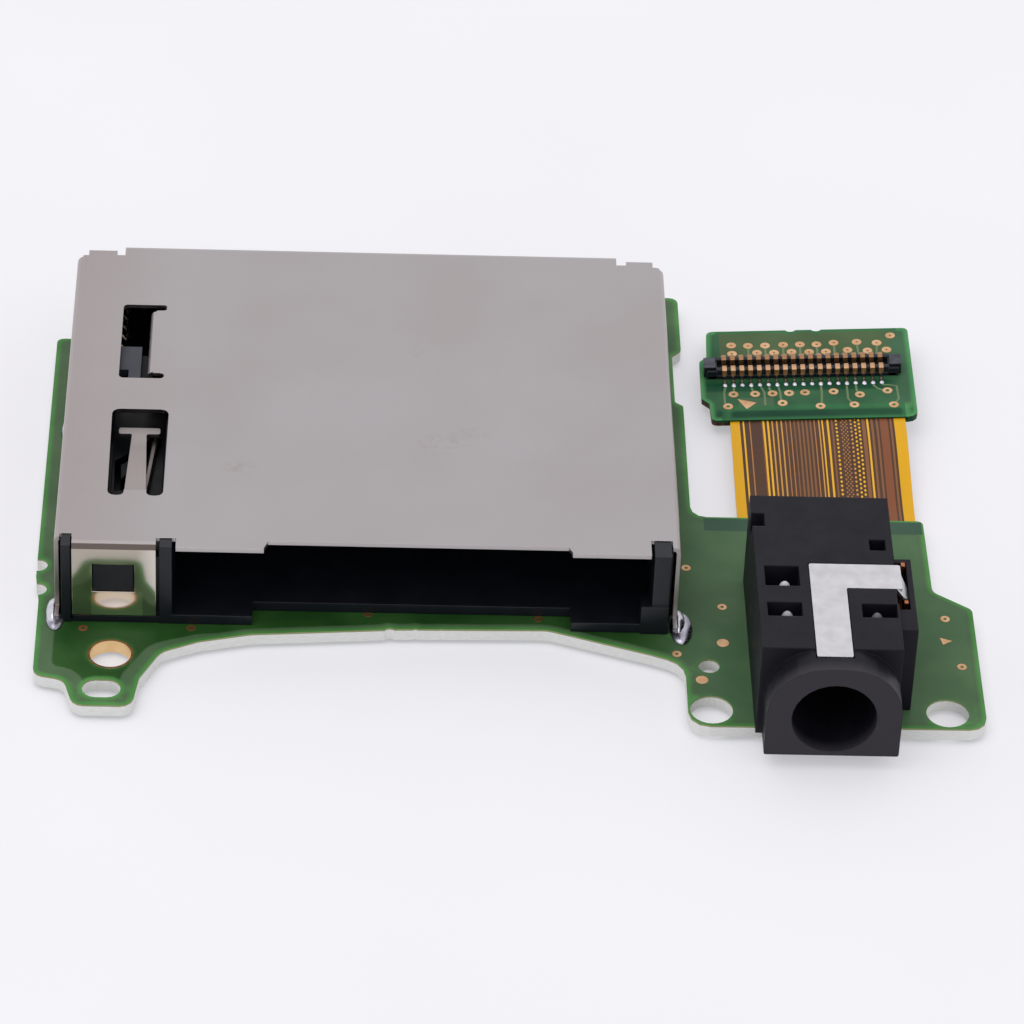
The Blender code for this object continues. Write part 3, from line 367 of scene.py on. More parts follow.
def ribbon_look():
    """Copper tracks of many widths and plated dots under an amber film."""
    look = Look("ribbon_film", Roughness=0.34, Specular_IOR_Level=0.22, Metallic=0.12)
    x, y, _ = look.parts_of(look.mm())
    from_middle = look.math("SUBTRACT", RIBBON_MIDDLE_Y, y)
    x = look.math("SUBTRACT", x, look.math("MULTIPLY", from_middle, RIBBON_SKEW))
    gold = linear(228, 170, 22)
    bright = linear(244, 184, 44)
    warm = linear(214, 156, 70)
    dim = linear(178, 122, 68)
    faint = linear(136, 92, 60)
    base = linear(80, 54, 40)
    red = linear(134, 78, 50)

    def ramp(low, high, bands):
        """Bands of colour over the base, each by its middle and width."""
        stops = [(0.0, base)] if bands[0][0] - bands[0][1] / 2 > low else []
        for middle, width, colour in bands:
            stops.append(((middle - width / 2 - low) / (high - low), colour))
            stops.append(((middle + width / 2 - low) / (high - low), base))
        return look.steps(look.span(x, low, high), stops)

    start, first_bound, second_bound, end = RIBBON_BOUNDS
    left = ramp(start, first_bound, [
        (30.98, 0.58, gold), (31.44, 0.075, bright), (31.733, 0.055, dim), (32.28, 0.05, red),
        (32.355, 0.085, bright), (32.553, 0.09, bright), (32.755, 0.065, warm), (32.958, 0.06, warm),
        (33.165, 0.06, warm), (33.375, 0.05, dim),
    ])
    middle = ramp(first_bound, second_bound, [
        (33.573, 0.05, dim), (33.752, 0.06, faint), (33.94, 0.08, faint), (34.12, 0.08, faint),
        (34.3, 0.08, faint), (34.48, 0.08, faint), (34.66, 0.05, dim), (34.87, 0.055, warm),
        (35.023, 0.065, bright), (35.265, 0.095, bright), (35.46, 0.08, faint),
    ])
    right = ramp(second_bound, end, [
        (36.88, 0.16, faint), (37.064, 0.09, bright), (37.27, 0.1, faint), (37.5, 0.09, faint),
        (37.81, 0.36, red), (38.13, 0.09, faint), (38.56, 0.58, gold),
    ])
    colour = look.mix(look.math("GREATER_THAN", x, first_bound), left, middle)
    colour = look.mix(look.math("GREATER_THAN", x, second_bound), colour, right)
    turns = look.math("DIVIDE", y, DOT_PITCH)
    for column, radius, phase, tone in (
        (35.65, 0.05, 0.0, bright), (35.875, 0.038, 0.5, dim), (35.96, 0.034, 0.0, dim),
        (36.055, 0.034, 0.5, dim), (36.13, 0.036, 0.0, dim), (36.315, 0.046, 0.0, warm),
        (36.505, 0.048, 0.5, bright), (36.68, 0.05, 0.0, bright),
    ):
        along = look.math("FRACT", look.math("ADD", turns, phase))
        along = look.math("MULTIPLY", look.math("SUBTRACT", along, 0.5), DOT_PITCH * 0.62)
        across = look.math("SUBTRACT", x, column)
        away = look.math("SQRT", look.squares(across, along))
        colour = look.mix(look.math("LESS_THAN", away, radius), colour, tone)
    haze = look.span(look.noise(0.5, 3.0, (1.0, 0.4, 1.0)), 0.35, 0.7, 0.0, 0.12)
    look.to("Base Color", look.mix(haze, colour, linear(138, 94, 56)))
    look.relief(look.noise(3.0, 2.0, (1.0, 0.3, 1.0)), 0.12, 0.02)
    return look.material


def cover_look():
    """Satin nickel sheet; the folded flap at the opening is smooth and made bright by a painted
    reflection.
    """
    look = Look("nickel_sheet", Metallic=1.0)
    x, y, z = look.parts_of(look.mm())
    base = look.mix(look.patches(0.16, 4.0), linear(176, 170, 168), linear(181, 177, 176))
    base = look.mix(look.span(x, 1.0, 6.0, 0.6, 0.0), base, linear(170, 158, 154))
    for cx, cy, rx, ry, depth in (
        (17.6, -0.6, 1.5, 0.9, 0.36), (18.9, 0.3, 1.2, 0.5, 0.26), (8.7, -2.6, 0.9, 0.5, 0.4),
        (16.4, 6.2, 0.8, 0.4, 0.25),
    ):
        across = look.math("DIVIDE", look.math("SUBTRACT", x, cx), rx)
        along = look.math("DIVIDE", look.math("SUBTRACT", y, cy), ry)
        near = look.span(look.squares(across, along), 0.1, 1.0, depth, 0.0)
        speckle = look.span(look.noise(2.2, 4.0, shift=cx), 0.48, 0.6)
        base = look.mix(look.math("MULTIPLY", near, speckle), base, linear(166, 156, 150))
    flap = look.math("MULTIPLY", look.math("LESS_THAN", y, FLAP_FRONT_Y), look.between(x, *FLAP_X))
    # Painted reflection on the flap: lighter low down and at its right end, a painted glint along its
    # lower edge, and painted shade at the top where it turns down.
    flap_light_and_shade = look.mix(look.span(z, 1.6, 2.6), linear(206, 197, 184), linear(176, 169, 156))
    flap_light_and_shade = look.mix(look.span(x, 4.5, 5.2), flap_light_and_shade, linear(206, 200, 190))
    glint = look.math("MULTIPLY", look.span(z, 1.75, 1.55), look.between(x, 2.55, 4.75))
    flap_light_and_shade = look.mix(glint, flap_light_and_shade, linear(250, 240, 228))
    fold = look.math("GREATER_THAN", z, FLAP_FOLD_Z)
    flap_light_and_shade = look.mix(fold, flap_light_and_shade, linear(108, 98, 92))
    base = look.mix(flap, base, flap_light_and_shade)
    # Painted shade on the sheet's cut edges round the front window.
    cut = look.math("LESS_THAN", look.flatness(), 0.4)
    front_window = look.inside(x, y, *COVER_WINDOW)
    colour = look.mix(look.math("MULTIPLY", cut, front_window), base, linear(52, 48, 50))
    grain = look.patches(2.0, 3.0, 0.3, 0.36, stretch=(6.0, 0.4, 1.0))
    leaf = look.inside(x, y, *LEAF_X, *LEAF_Y)
    leaf = look.math("MULTIPLY", leaf, look.math("LESS_THAN", z, LEAF_TOP_Z))
    # Painted shade: the leaf's stem darkens towards the front. The leaf is drawn less metallic and
    # rougher, so it catches the light from above.
    stem_shade = look.math("MULTIPLY", leaf, look.span(y, 0.6, -0.6, 0.0, 0.62))
    look.to("Base Color", look.mix(stem_shade, colour, linear(140, 128, 126)))
    look.to("Metallic", look.math("SUBTRACT", 1.0, look.math("MULTIPLY", leaf, 0.8)))
    rough = look.add("ShaderNodeMix", {0: flap, 2: grain, 3: 0.1}).outputs[0]
    look.to("Roughness", look.math("ADD", rough, look.math("MULTIPLY", leaf, 0.2)))
    look.edge = 0.04
    leaning = look.math("MULTIPLY", look.math("MULTIPLY", flap, z), -0.055)
    tilted = look.add("ShaderNodeBump", {
        "Height": leaning, "Strength": 1.0, "Distance": MM, "Normal": look.rounded()}).outputs[0]
    fine = look.math("ADD", look.noise(11.0, 2.0), look.math("MULTIPLY", look.noise(0.6, 2.0), 1.5))
    look.to("Normal", look.add("ShaderNodeBump", {
        "Height": fine, "Strength": 0.05, "Distance": 0.008 * MM, "Normal": tilted}).outputs[0])
    return look.material


def plastic_look(name, deep, pale, roughness, edge, level=0.5, region=None, tone=None, sheen=1.0):
    """Moulded plastic; region gives the share of a second tone, with its sheen scaled."""
    look = Look(name, Specular_IOR_Level=level)
    colour = look.mix(look.patches(0.7, 4.0), deep, pale)
    if region:
        share = region(look)
        colour = look.mix(share, colour, tone)
        look.to("Specular IOR Level", look.span(share, 0.0, 1.0, level, level * sheen))
    look.to("Base Color", colour)
    look.to("Roughness", look.patches(1.8, 3.0, roughness - 0.04, roughness + 0.06))
    look.edge = edge
    look.relief(look.noise(20.0, 3.0), 0.18, 0.012)
    return look.material


def under_window(look):
    """Inside the housing below the cover's leaf, where hardly any light comes."""
    x, y, z = look.parts_of(look.mm())
    here = look.inside(x, y, *HOUSING_SHADE)
    return look.math("MULTIPLY", here, look.math("LESS_THAN", z, HOUSING_SHADE_Z))


def low_or_forward(look):
    """The slider's lower step and its front, both in shadow."""
    _, y, z = look.parts_of(look.mm())
    low = look.math("LESS_THAN", z, SLIDER_STEP_Z)
    return look.math("MAXIMUM", low, look.math("LESS_THAN", y, SLIDER_FRONT_Y))


def nose_face(look):
    """The front end of the jack's nose, where the housing gets painted light."""
    return look.span(look.parts_of(look.mm())["Y"], *NOSE_Y)


def metal_look(name, deep, pale, roughness, edge=0.03):
    look = Look(name, Metallic=1.0)
    look.to("Base Color", look.mix(look.patches(1.5, 3.0), deep, pale))
    look.to("Roughness", look.patches(4.0, 3.0, roughness - 0.05, roughness + 0.07))
    look.edge = edge
    look.relief(look.noise(10.0, 3.0), 0.12, 0.01)
    return look.material


# Meshes

def new_piece(name, shape, material):
    mesh = bpy.data.meshes.new(name)
    bmesh.ops.recalc_face_normals(shape, faces=shape.faces)
    shape.to_mesh(mesh)
    shape.free()
    piece = bpy.data.objects.new(name, mesh)
    bpy.context.scene.collection.objects.link(piece)
    mesh.materials.append(material)
    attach(piece, "case")
    return piece


def copied(node):
    """A node's mesh with its flat faces whole again."""
    shape = bmesh.new()
    shape.from_mesh(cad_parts[node].data)
    bmesh.ops.remove_doubles(shape, verts=shape.verts, dist=WELD)
    bmesh.ops.dissolve_limit(shape, angle_limit=0.01, verts=shape.verts, edges=shape.edges)
    return shape


def add_bevel(piece, width):
    bevel = piece.modifiers.new("bevel", "BEVEL")
    bevel.width = width * MM
    bevel.segments = 2
    bevel.limit_method = "ANGLE"
    bevel.angle_limit = math.radians(40.0)
    bevel.harden_normals = True
    piece.data.shade_smooth()


def block(shape, x0, x1, y0, y1, z0, z1):
    made = bmesh.ops.create_cube(shape, size=MM)["verts"]
    bmesh.ops.scale(shape, vec=(x1 - x0, y1 - y0, z1 - z0), verts=made)
    middle = place((x0 + x1) / 2, (y0 + y1) / 2, (z0 + z1) / 2)
    bmesh.ops.translate(shape, vec=middle, verts=made)
    return made


def drawn(shape, points, low, high, axis="x"):
    """A closed outline drawn out along an axis; (y, z) points along X, (x, y) along Z."""
    rings = []
    for value in (low, high):
        if axis == "x":
            rings.append([shape.verts.new(place(value, a, b)) for a, b in points])
        else:
            rings.append([shape.verts.new(place(a, b, value)) for a, b in points])
    count = len(points)
    for i in range(count):
        j = (i + 1) % count
        shape.faces.new((rings[0][i], rings[0][j], rings[1][j], rings[1][i]))
    shape.faces.new(rings[0])
    shape.faces.new(rings[1])
    return rings[0] + rings[1]


def circle(shape, x, y, height, radius, sides):
    loop = []
    for i in range(sides):
        angle = 2.0 * math.pi * i / sides
        rim = place(x + radius * math.cos(angle), y + radius * math.sin(angle), height)
        loop.append(shape.verts.new(rim))
    return loop


def band(shape, lower, upper):
    """Faces between two circles."""
    count = len(lower)
    for i in range(count):
        j = (i + 1) % count
        shape.faces.new((lower[i], lower[j], upper[j], upper[i]))


def ring(shape, x, y, z, outer, inner, thick=0.016):
    """A flat pad with a hole, or a full disc where inner is 0, with a softened rim."""
    levels = [(outer, z), (outer - thick * 0.4, z + thick)]
    if inner:
        levels += [(inner + thick * 0.4, z + thick), (inner, z)]
    loops = [circle(shape, x, y, height, radius, 28) for radius, height in levels]
    for lower, upper in zip(loops, loops[1:]):
        band(shape, lower, upper)
    if inner:
        band(shape, loops[-1], loops[0])
    else:
        shape.faces.new(loops[0])
        shape.faces.new(loops[-1])
    return [vertex for loop in loops for vertex in loop]


def lean(verts):
    """Turn points built flat on the small board to its slant, right end up."""
    pivot = place(30.0, 0.0, 0.0)
    turn = Matrix.Rotation(math.radians(-SMALL_BOARD_SLANT), 4, "Y")
    for vertex in verts:
        vertex.co = pivot + turn @ (vertex.co - pivot)


# Boards

def tree_of(points):
    tree = KDTree(len(points))
    for i, point in enumerate(points):
        tree.insert(point, i)
    tree.balance()
    return tree


def loops_of(edges):
    """The edges sorted into groups that touch each other."""
    left = set(edges)
    loops = []
    while left:
        open_ends = [left.pop()]
        loop = []
        while open_ends:
            edge = open_ends.pop()
            loop.append(edge)
            for vertex in edge.verts:
                for other in vertex.link_edges:
                    if other in left:
                        left.remove(other)
                        open_ends.append(other)
        loops.append(loop)
    return loops


def dress_board(name, node, material, cell):
    """A board cut into cells, whose points know how far they are from its outline and any rim."""
    shape = bmesh.new()
    shape.from_mesh(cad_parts[node].data)
    bmesh.ops.remove_doubles(shape, verts=shape.verts, dist=WELD)
    rims = []
    for edge in shape.edges:
        flat = [abs(face.normal.z) for face in edge.link_faces]
        if max(flat) > 0.9 and min(flat) < 0.5:
            rims.append(edge)
    on_rims = []
    on_outline = []
    for loop in loops_of(rims):
        reach = [vertex.co.x for edge in loop for vertex in edge.verts]
        is_outline = max(reach) - min(reach) > 5.0 * MM
        for edge in loop:
            start, end = (vertex.co for vertex in edge.verts)
            pieces = max(int((end - start).length / (0.06 * MM)), 1)
            made = [start.lerp(end, k / pieces) for k in range(pieces + 1)]
            on_rims += made
            if is_outline:
                on_outline += made
    low = [min(vertex.co[i] for vertex in shape.verts) for i in range(2)]
    high = [max(vertex.co[i] for vertex in shape.verts) for i in range(2)]
    for i, direction in enumerate(((1.0, 0.0, 0.0), (0.0, 1.0, 0.0))):
        for k in range(1, int((high[i] - low[i]) / (cell * MM)) + 1):
            spot = Vector(direction) * (low[i] + k * cell * MM)
            geometry = shape.verts[:] + shape.edges[:] + shape.faces[:]
            bmesh.ops.bisect_plane(
                shape, geom=geometry, dist=0.0000001, plane_co=spot, plane_no=direction)
    for label, points in (("rim", on_rims), ("outline", on_outline)):
        tree = tree_of(points)
        away = shape.verts.layers.float.new(label)
        for vertex in shape.verts:
            vertex[away] = tree.find(vertex.co)[2] / MM
    piece = new_piece(name, shape, material)
    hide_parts(node)


def make_board_copper(plating, pads):
    """Vias, test pads and the plated rim of the left screw hole on the main board."""
    shape = bmesh.new()
    vias = (
        (2.21, -8.73), (6.84, -8.58), (14.45, -7.37), (21.8, -7.49), (28.38, -3.7),
        (27.74, -9.7), (29.84, -6.4), (39.53, -6.93), (40.0, -10.21),
    )
    for x, y in vias:
        ring(shape, x, y, PADS_Z, 0.21, 0.07)
    for x, y in ((28.75, -11.43), (29.76, -8.89)):
        ring(shape, x, y, PADS_Z, 0.27, 0.0)
    drawn(shape, [(39.2, -8.25), (39.72, -8.45), (39.3, -8.72)], PADS_Z, 0.012, "z")
    new_piece("board_pads", shape, pads)
    shape = bmesh.new()
    sleeve(shape, *SCREW_HOLE, outer=0.915, inner=0.88, low=-0.602, high=0.012, lip=0.07)
    piece = new_piece("screw_hole_plating", shape, plating)
    piece.data.shade_smooth()
    piece.data.set_sharp_from_angle(angle=math.radians(40.0))


def sleeve(shape, x, y, outer, inner, low, high, lip):
    """A plated through hole: a thin tube with a flat lip on each side."""
    profile = [
        (outer, low), (outer + lip, low), (outer + lip, low - 0.008), (inner, low - 0.008),
        (inner, high), (outer + lip, high), (outer + lip, high - 0.01), (outer, high - 0.01),
    ]
    loops = [circle(shape, x, y, height, radius, 40) for radius, height in profile]
    for loop, after in zip(loops, loops[1:] + loops[:1]):
        band(shape, loop, after)


def make_plug_board_copper(pads, trace):
    """The small board's vias with their holes, corner mark and traces."""
    shape = bmesh.new()
    made = []
    behind_plug = (
        (31.15, 13.0), (31.93, 12.94), (32.72, 12.94), (33.56, 12.97), (34.34, 12.97),
        (35.11, 12.95), (35.91, 13.05), (36.98, 13.08), (37.9, 12.98),
        (31.16, 12.34), (32.32, 12.38), (33.11, 12.36), (33.92, 12.4), (34.73, 12.36),
        (35.51, 12.37), (36.52, 12.46), (37.44, 12.38), (38.32, 12.42), (38.56, 13.54),
    )
    for x, y in behind_plug:
        made += ring(shape, x, y, SMALL_PADS_Z, 0.23, 0.045)
    before_plug = (
        (31.08, 9.18), (32.07, 9.18), (32.87, 9.19), (33.63, 9.2), (34.36, 9.22),
        (35.67, 9.25), (36.86, 8.97), (38.14, 9.24),
        (30.79, 8.26), (33.29, 8.44), (35.01, 8.15), (36.56, 8.21), (38.36, 8.15),
    )
    for x, y in before_plug:
        made += ring(shape, x, y, SMALL_PADS_Z, 0.23, 0.08)
    made += drawn(shape, [(31.24, 8.8), (32.1, 8.5), (31.63, 8.02)], SMALL_PADS_Z, 0.014, "z")
    lean(made)
    new_piece("plug_board_pads", shape, pads)
    shape = bmesh.new()
    made = []
    tails = terminal_places()
    routes = [
        [(tails[0], FEET_Y), (30.66, 9.3), (30.66, 8.55), (30.79, 8.3)],
        [(tails[6] + 0.05, FEET_Y), (33.22, 9.3), (33.24, 8.6)],
        [(tails[11], FEET_Y), (35.13, 9.2), (35.08, 8.35)],
        [(tails[14] - 0.02, FEET_Y), (36.3, 8.7), (36.45, 8.35)],
        [(tails[15], FEET_Y), (36.74, 9.3), (36.8, 9.15)],
        [(tails[17], FEET_Y), (37.68, 9.45), (37.95, 9.25)],
        [(tails[18], FEET_Y), (38.2, 9.68), (38.58, 9.6), (38.62, 8.6), (38.45, 8.3)],
        [(tails[1], FEET_Y), (31.1, 9.35)],
        [(tails[3], FEET_Y), (32.0, 9.35)],
        [(tails[5], FEET_Y), (32.8, 9.35)],
        [(tails[4] + 0.05, FEET_Y), (32.5, 9.3), (32.5, 8.3)],
        [(31.93, 12.8), (31.93, 11.9)],
        [(32.72, 12.8), (32.72, 11.9)],
        [(33.56, 12.8), (33.52, 11.9)],
        [(34.34, 12.8), (34.32, 11.9)],
        [(35.11, 12.8), (35.12, 11.9)],
        [(35.91, 12.8), (35.92, 11.9)],
        [(36.98, 12.9), (37.02, 11.9)],
        [(37.9, 12.8), (37.82, 11.9)],
    ]
    for route in routes:
        made += track(shape, route, 0.1, SMALL_PADS_Z, 0.004)
    lean(made)
    new_piece("plug_board_traces", shape, trace)


def track(shape, route, width, low, high):
    """A flat track of even width along a route."""
    left = []
    right = []
    for i, (x, y) in enumerate(route):
        before = Vector(route[max(i - 1, 0)])
        after = Vector(route[min(i + 1, len(route) - 1)])
        along = (after - before).normalized()
        side = Vector((-along.y, along.x)) * width / 2
        left.append((x + side.x, y + side.y))
        right.append((x - side.x, y - side.y))
    return drawn(shape, left + right[::-1], low, high, "z")


# Small connector

def terminal_places():
    return [FIRST_TERMINAL_X + TERMINAL_PITCH * i for i in range(TERMINALS)]


def ball(shape, centre, radii, columns, rows):
    """An ellipsoid round a point of the frame, with its radii in millimetres.

    It is built point by point, so that the points have the same order in each run."""
    across, along, upward = (radius * MM for radius in radii)
    middle = Vector(centre)
    loops = []
    for k in range(1, rows):
        tilt = math.pi * k / rows
        loop = []
        for i in range(columns):
            turn = 2.0 * math.pi * i / columns
            out = Vector((
                across * math.sin(tilt) * math.sin(turn),
                along * math.sin(tilt) * math.cos(turn),
                upward * math.cos(tilt),
            ))
            loop.append(shape.verts.new(middle + out))
        loops.append(loop)
    for upper, lower in zip(loops, loops[1:]):
        band(shape, upper, lower)
    made = [vertex for loop in loops for vertex in loop]
    for loop, height in ((loops[0], upward), (loops[-1], -upward)):
        pole = shape.verts.new(middle + Vector((0.0, 0.0, height)))
        for vertex, after in zip(loop, loop[1:] + loop[:1]):
            shape.faces.new((pole, vertex, after))
        made.append(pole)
    return made


def make_plug(plastic, gold, tin):
    """The plug's body, two rows of hooked terminals and their soldered feet."""
    x0, x1 = PLUG_X
    y0, y1 = PLUG_Y
    shape = bmesh.new()
    made = block(shape, x0 + 0.1, x1 - 0.1, y0 + 0.02, y1 - 0.02, 0.02, 0.2)
    for low, high in ((y0 + 0.05, y0 + 0.3), (y1 - 0.3, y1 - 0.05)):
        made += block(shape, x0 + 0.42, x1 - 0.42, low, high, 0.19, 0.5)
    for low, high in ((x0, x0 + 0.5), (x1 - 0.5, x1)):
        made += block(shape, low, high, y0 + 0.02, y1 - 0.02, 0.02, 0.44)
    lean(made)
    body = new_piece("plug_body", shape, plastic)
    add_bevel(body, 0.03)
    shape = bmesh.new()
    made = []
    hook = [
        (-0.05, 0.2), (-0.07, 0.42), (-0.04, 0.53), (0.03, 0.56), (0.3, 0.56),
        (0.36, 0.53), (0.37, 0.42), (0.37, 0.26), (0.31, 0.26), (0.31, 0.4),
        (0.29, 0.5), (0.05, 0.5), (0.0, 0.45), (0.0, 0.2),
    ]
    half = 0.11
    for x in terminal_places():
        made += drawn(shape, [(y0 + a, b) for a, b in hook], x - half, x + half)
        made += drawn(shape, [(y1 - a, b) for a, b in hook], x - half, x + half)
    lean(made)
    terminals = new_piece("plug_terminals", shape, gold)
    add_bevel(terminals, 0.012)
    shape = bmesh.new()
    made = []
    foot = [(-0.46, 0.012), (-0.46, 0.07), (-0.1, 0.1), (0.06, 0.1), (0.06, 0.012)]
    half = 0.06
    for i, x in enumerate(terminal_places()):
        for edge, way in ((y0, 1.0), (y1, -1.0)):
            made += drawn(shape, [(edge + way * a, b) for a, b in foot], x - half, x + half)
            radii = (0.13, 0.18 + 0.03 * math.sin(2.4 * i), 0.09)
            made += ball(shape, place(x, edge - way * 0.5, 0.03), radii, 10, 6)
    lean(made)
    feet = new_piece("plug_terminal_feet", shape, tin)
    add_bevel(feet, 0.02)
    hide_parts("plug_housing")


def assign(material, *nodes):
    for node in nodes:
        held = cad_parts[node].data.materials
        held.clear()
        held.append(material)


def make_spring(steel):
    """The eject coil, a smooth-shaded copy of the spring; on the real part its front end moves with the
    slider and its rear end stays in the housing.
    """
    shape = bmesh.new()
    shape.from_mesh(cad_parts["eject_spring"].data)
    mesh = bpy.data.meshes.new("eject_coil")
    shape.to_mesh(mesh)
    shape.free()
    mesh.materials.append(steel)
    coil = bpy.data.objects.new("eject_coil", mesh)
    bpy.context.scene.collection.objects.link(coil)
    mesh.shade_smooth()
    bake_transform(coil)
    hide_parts("eject_spring")


def make_contact_bends(looks):
    """Each jack contact's round bend, which shows in its well just under the housing's top."""
    roof = max(vertex.co.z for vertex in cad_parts["jack_housing"].data.vertices)
    for node, material in looks.items():
        peak = max(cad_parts[node].data.vertices, key=lambda vertex: vertex.co.z).co
        shape = bmesh.new()
        ball(shape, (peak.x, peak.y, roof - 0.5 * MM), (0.26, 0.26, 0.42), 28, 18)
        piece = new_piece(node + "_bend", shape, material)
        piece.data.shade_smooth()


def make_solder(material, leg):
    """Solder round the cover's legs, and a fuller bead at each of the two front ones."""
    for node in ("solder_front_left", "solder_front_right", "solder_side_left", "solder_side_right"):
        shape = copied(node)
        bmesh.ops.subdivide_edges(shape, edges=shape.edges, cuts=1, use_grid_fill=True)
        piece = new_piece(node + "_bead", shape, material)
        piece.data.shade_smooth()
        piece.data.set_sharp_from_angle(angle=math.radians(60.0))
        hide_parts(node)
    shape = bmesh.new()
    for x, y, wide, long in FRONT_LEG_BEADS:
        ball(shape, place(x, y, 0.02), (wide, long, 0.26), 32, 20)
    piece = new_piece("leg_beads", shape, leg)
    piece.data.shade_smooth()


# Stage

def seen_share(tree):
    """1 for camera, glossy and transmission rays, which see the pale background itself."""
    path = tree.nodes.new("ShaderNodeLightPath")
    share = path.outputs["Is Camera Ray"]
    for ray in ("Is Glossy Ray", "Is Transmission Ray"):
        both = tree.nodes.new("ShaderNodeMath")
        both.operation = "MAXIMUM"
        tree.links.new(share, both.inputs[0])
        tree.links.new(path.outputs[ray], both.inputs[1])
        share = both.outputs[0]
    return share


def make_floor():
    shape = bmesh.new()
    bmesh.ops.create_grid(shape, x_segments=2, y_segments=2, size=3.0)
    mesh = bpy.data.meshes.new("floor")
    shape.to_mesh(mesh)
    shape.free()
    floor = bpy.data.objects.new("floor", mesh)
    floor.location.z = FLOOR_Z
    bpy.context.scene.collection.objects.link(floor)
    paper = Look("floor", Roughness=1.0, Specular_IOR_Level=0.0)
    fibre = paper.patches(0.05, 2.0)
    paper.to("Base Color", paper.mix(fibre, (0.49, 0.486, 0.508, 1.0), (0.51, 0.506, 0.528, 1.0)))
    paper.to("Emission Color", linear(*BACKDROP))
    paper.to("Emission Strength", paper.math("MULTIPLY", seen_share(paper.tree), FLOOR_GLOW))
    mesh.materials.append(paper.material)


def make_world():
    world = bpy.data.worlds.new("studio")
    bpy.context.scene.world = world
    world.use_nodes = True
    tree = world.node_tree
    soft = tree.nodes["Background"]
    soft.inputs["Color"].default_value = (1.0, 0.995, 1.0, 1.0)
    soft.inputs["Strength"].default_value = SOFT_LIGHT
    shown = tree.nodes.new("ShaderNodeBackground")
    shown.inputs["Color"].default_value = linear(*BACKDROP)
    shown.inputs["Strength"].default_value = 1.0
    choose = tree.nodes.new("ShaderNodeMixShader")
    out = tree.nodes["World Output"]
    tree.links.new(seen_share(tree), choose.inputs[0])
    tree.links.new(soft.outputs[0], choose.inputs[1])
    tree.links.new(shown.outputs[0], choose.inputs[2])
    tree.links.new(choose.outputs[0], out.inputs["Surface"])


def make_lamp(name, where, size, power):
    """A square lamp that faces the frame's origin."""
    lamp = bpy.data.lights.new(name, "AREA")
    lamp.shape = "RECTANGLE"
    lamp.size = size
    lamp.size_y = size
    lamp.energy = power
    holder = bpy.data.objects.new(name, lamp)
    holder.location = where
    holder.rotation_mode = "QUATERNION"
    holder.rotation_quaternion = (-Vector(where)).to_track_quat("-Z", "Y")
    bpy.context.scene.collection.objects.link(holder)


def make_camera():
    """A long lens that looks down at the front, a little turned and rolled."""
    pitch, roll, yaw = (math.radians(turn) for turn in CAMERA_TURNS)
    ahead = math.cos(pitch)
    forward = Vector((math.sin(yaw) * ahead, math.cos(yaw) * ahead, -math.sin(pitch)))
    level = Vector((math.cos(yaw), -math.sin(yaw), 0.0))
    upright = level.cross(forward)
    right = math.cos(roll) * level + math.sin(roll) * upright
    up = -math.sin(roll) * level + math.cos(roll) * upright
    camera = bpy.data.cameras.new("camera")
    camera.sensor_width = SENSOR
    camera.lens = SENSOR * FOCAL_LENGTH / PICTURE
    camera.clip_start = 0.01
    camera.clip_end = 10.0
    holder = bpy.data.objects.new("camera", camera)
    holder.location = place(*CAMERA_PLACE)
    holder.rotation_mode = "QUATERNION"
    holder.rotation_quaternion = Matrix((right, up, -forward)).transposed().to_quaternion()
    bpy.context.scene.collection.objects.link(holder)
    bpy.context.scene.camera = holder


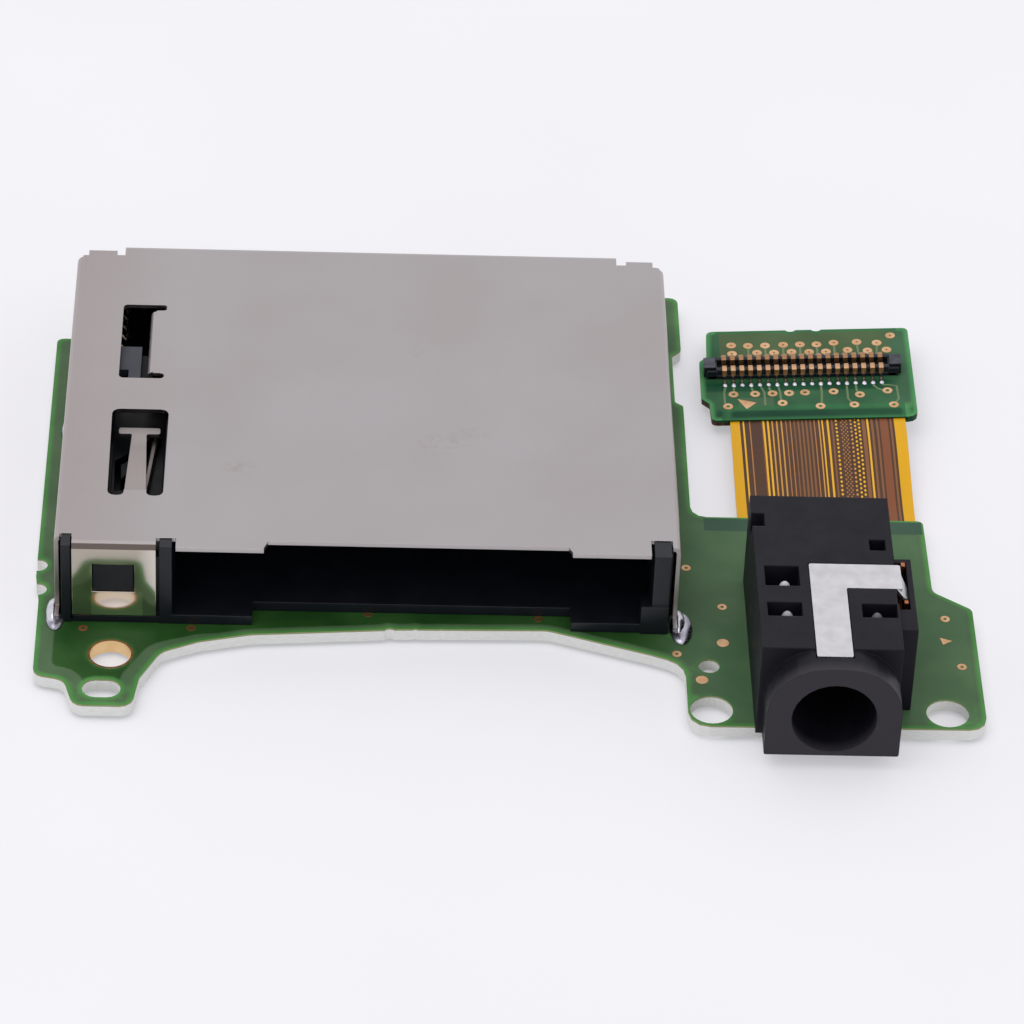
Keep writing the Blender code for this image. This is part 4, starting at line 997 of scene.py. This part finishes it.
def dress():
    pads = pad_look()
    silver = metal_look("silver_plate", linear(206, 205, 205), linear(223, 222, 224), 0.42)
    steel = metal_look("spring_steel", linear(214, 200, 184), linear(240, 228, 214), 0.24)
    black = plastic_look("housing_black", linear(14, 17, 23), linear(20, 24, 31), 0.34, 0.05, 0.38,
                         under_window, linear(12, 14, 18), 0.35)
    solder = metal_look("solder_tin", linear(196, 196, 204), linear(226, 226, 232), 0.22, 0.05)
    # Painted light: the jack housing's nose front is a lighter grey.
    satin = plastic_look("jack_black", linear(20, 19, 26), linear(27, 26, 34), 0.5, 0.1, 0.17,
                         nose_face, linear(53, 51, 57))
    dress_board("main_board_dressed", "main_board", main_board_look(), 0.3)
    dress_board("plug_board_dressed", "plug_board", plug_board_look(), 0.2)
    make_board_copper(plating_look(), pads)
    trace = plastic_look("masked_trace", linear(92, 116, 74), linear(106, 128, 84), 0.35, 0.0)
    make_plug_board_copper(pads, trace)
    make_plug(black, terminal_look(), solder)
    anchor = metal_look("plug_anchor", linear(66, 68, 74), linear(98, 99, 106), 0.35)
    assign(anchor, "plug_anchor_left", "plug_anchor_right")
    assign(ribbon_look(), "flex_ribbon")
    assign(cover_look(), "shield_cover")
    assign(black, "card_housing")
    slider = plastic_look("slider_plastic", linear(40, 44, 54), linear(52, 57, 68), 0.36, 0.04, 0.5,
                          low_or_forward, linear(13, 15, 19), 0.35)
    assign(slider, "eject_slider")
    make_spring(steel)
    wire = metal_look("cam_pin_wire", linear(118, 110, 106), linear(142, 134, 130), 0.4)
    assign(wire, "cam_pin")
    assign(gold_look(), *[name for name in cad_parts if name.startswith("card_contact")])
    assign(satin, "jack_housing")
    assign(silver, "jack_ground_contact")
    bends = {}
    # Painted light and shade: the silver contacts are drawn as matt grey, palest at the tip and darkest
    # at the mic, as each well lets light in.
    for end, level in (("tip", 190), ("ring", 150), ("mic", 84)):
        node = f"jack_{end}_contact"
        bends[node] = plastic_look(node + "_painted_light", linear(level, level, level + 2),
                                   linear(level + 14, level + 14, level + 16), 0.45, 0.0, 0.6)
        assign(bends[node], node)
    make_contact_bends(bends)
    copper = metal_look("copper_alloy", linear(168, 104, 74), linear(196, 130, 98), 0.35)
    assign(copper, "jack_switch_contact")
    leg_solder = metal_look("solder_dull", linear(132, 130, 140), linear(196, 194, 206), 0.24, 0.0)
    make_solder(solder, leg_solder)


dress()
make_floor()
make_world()
make_lamp("key", (-0.12, -0.05, 0.3), 0.25, 0.22)
make_lamp("fill", (0.25, -0.2, 0.25), 0.2, 0.05)
make_camera()
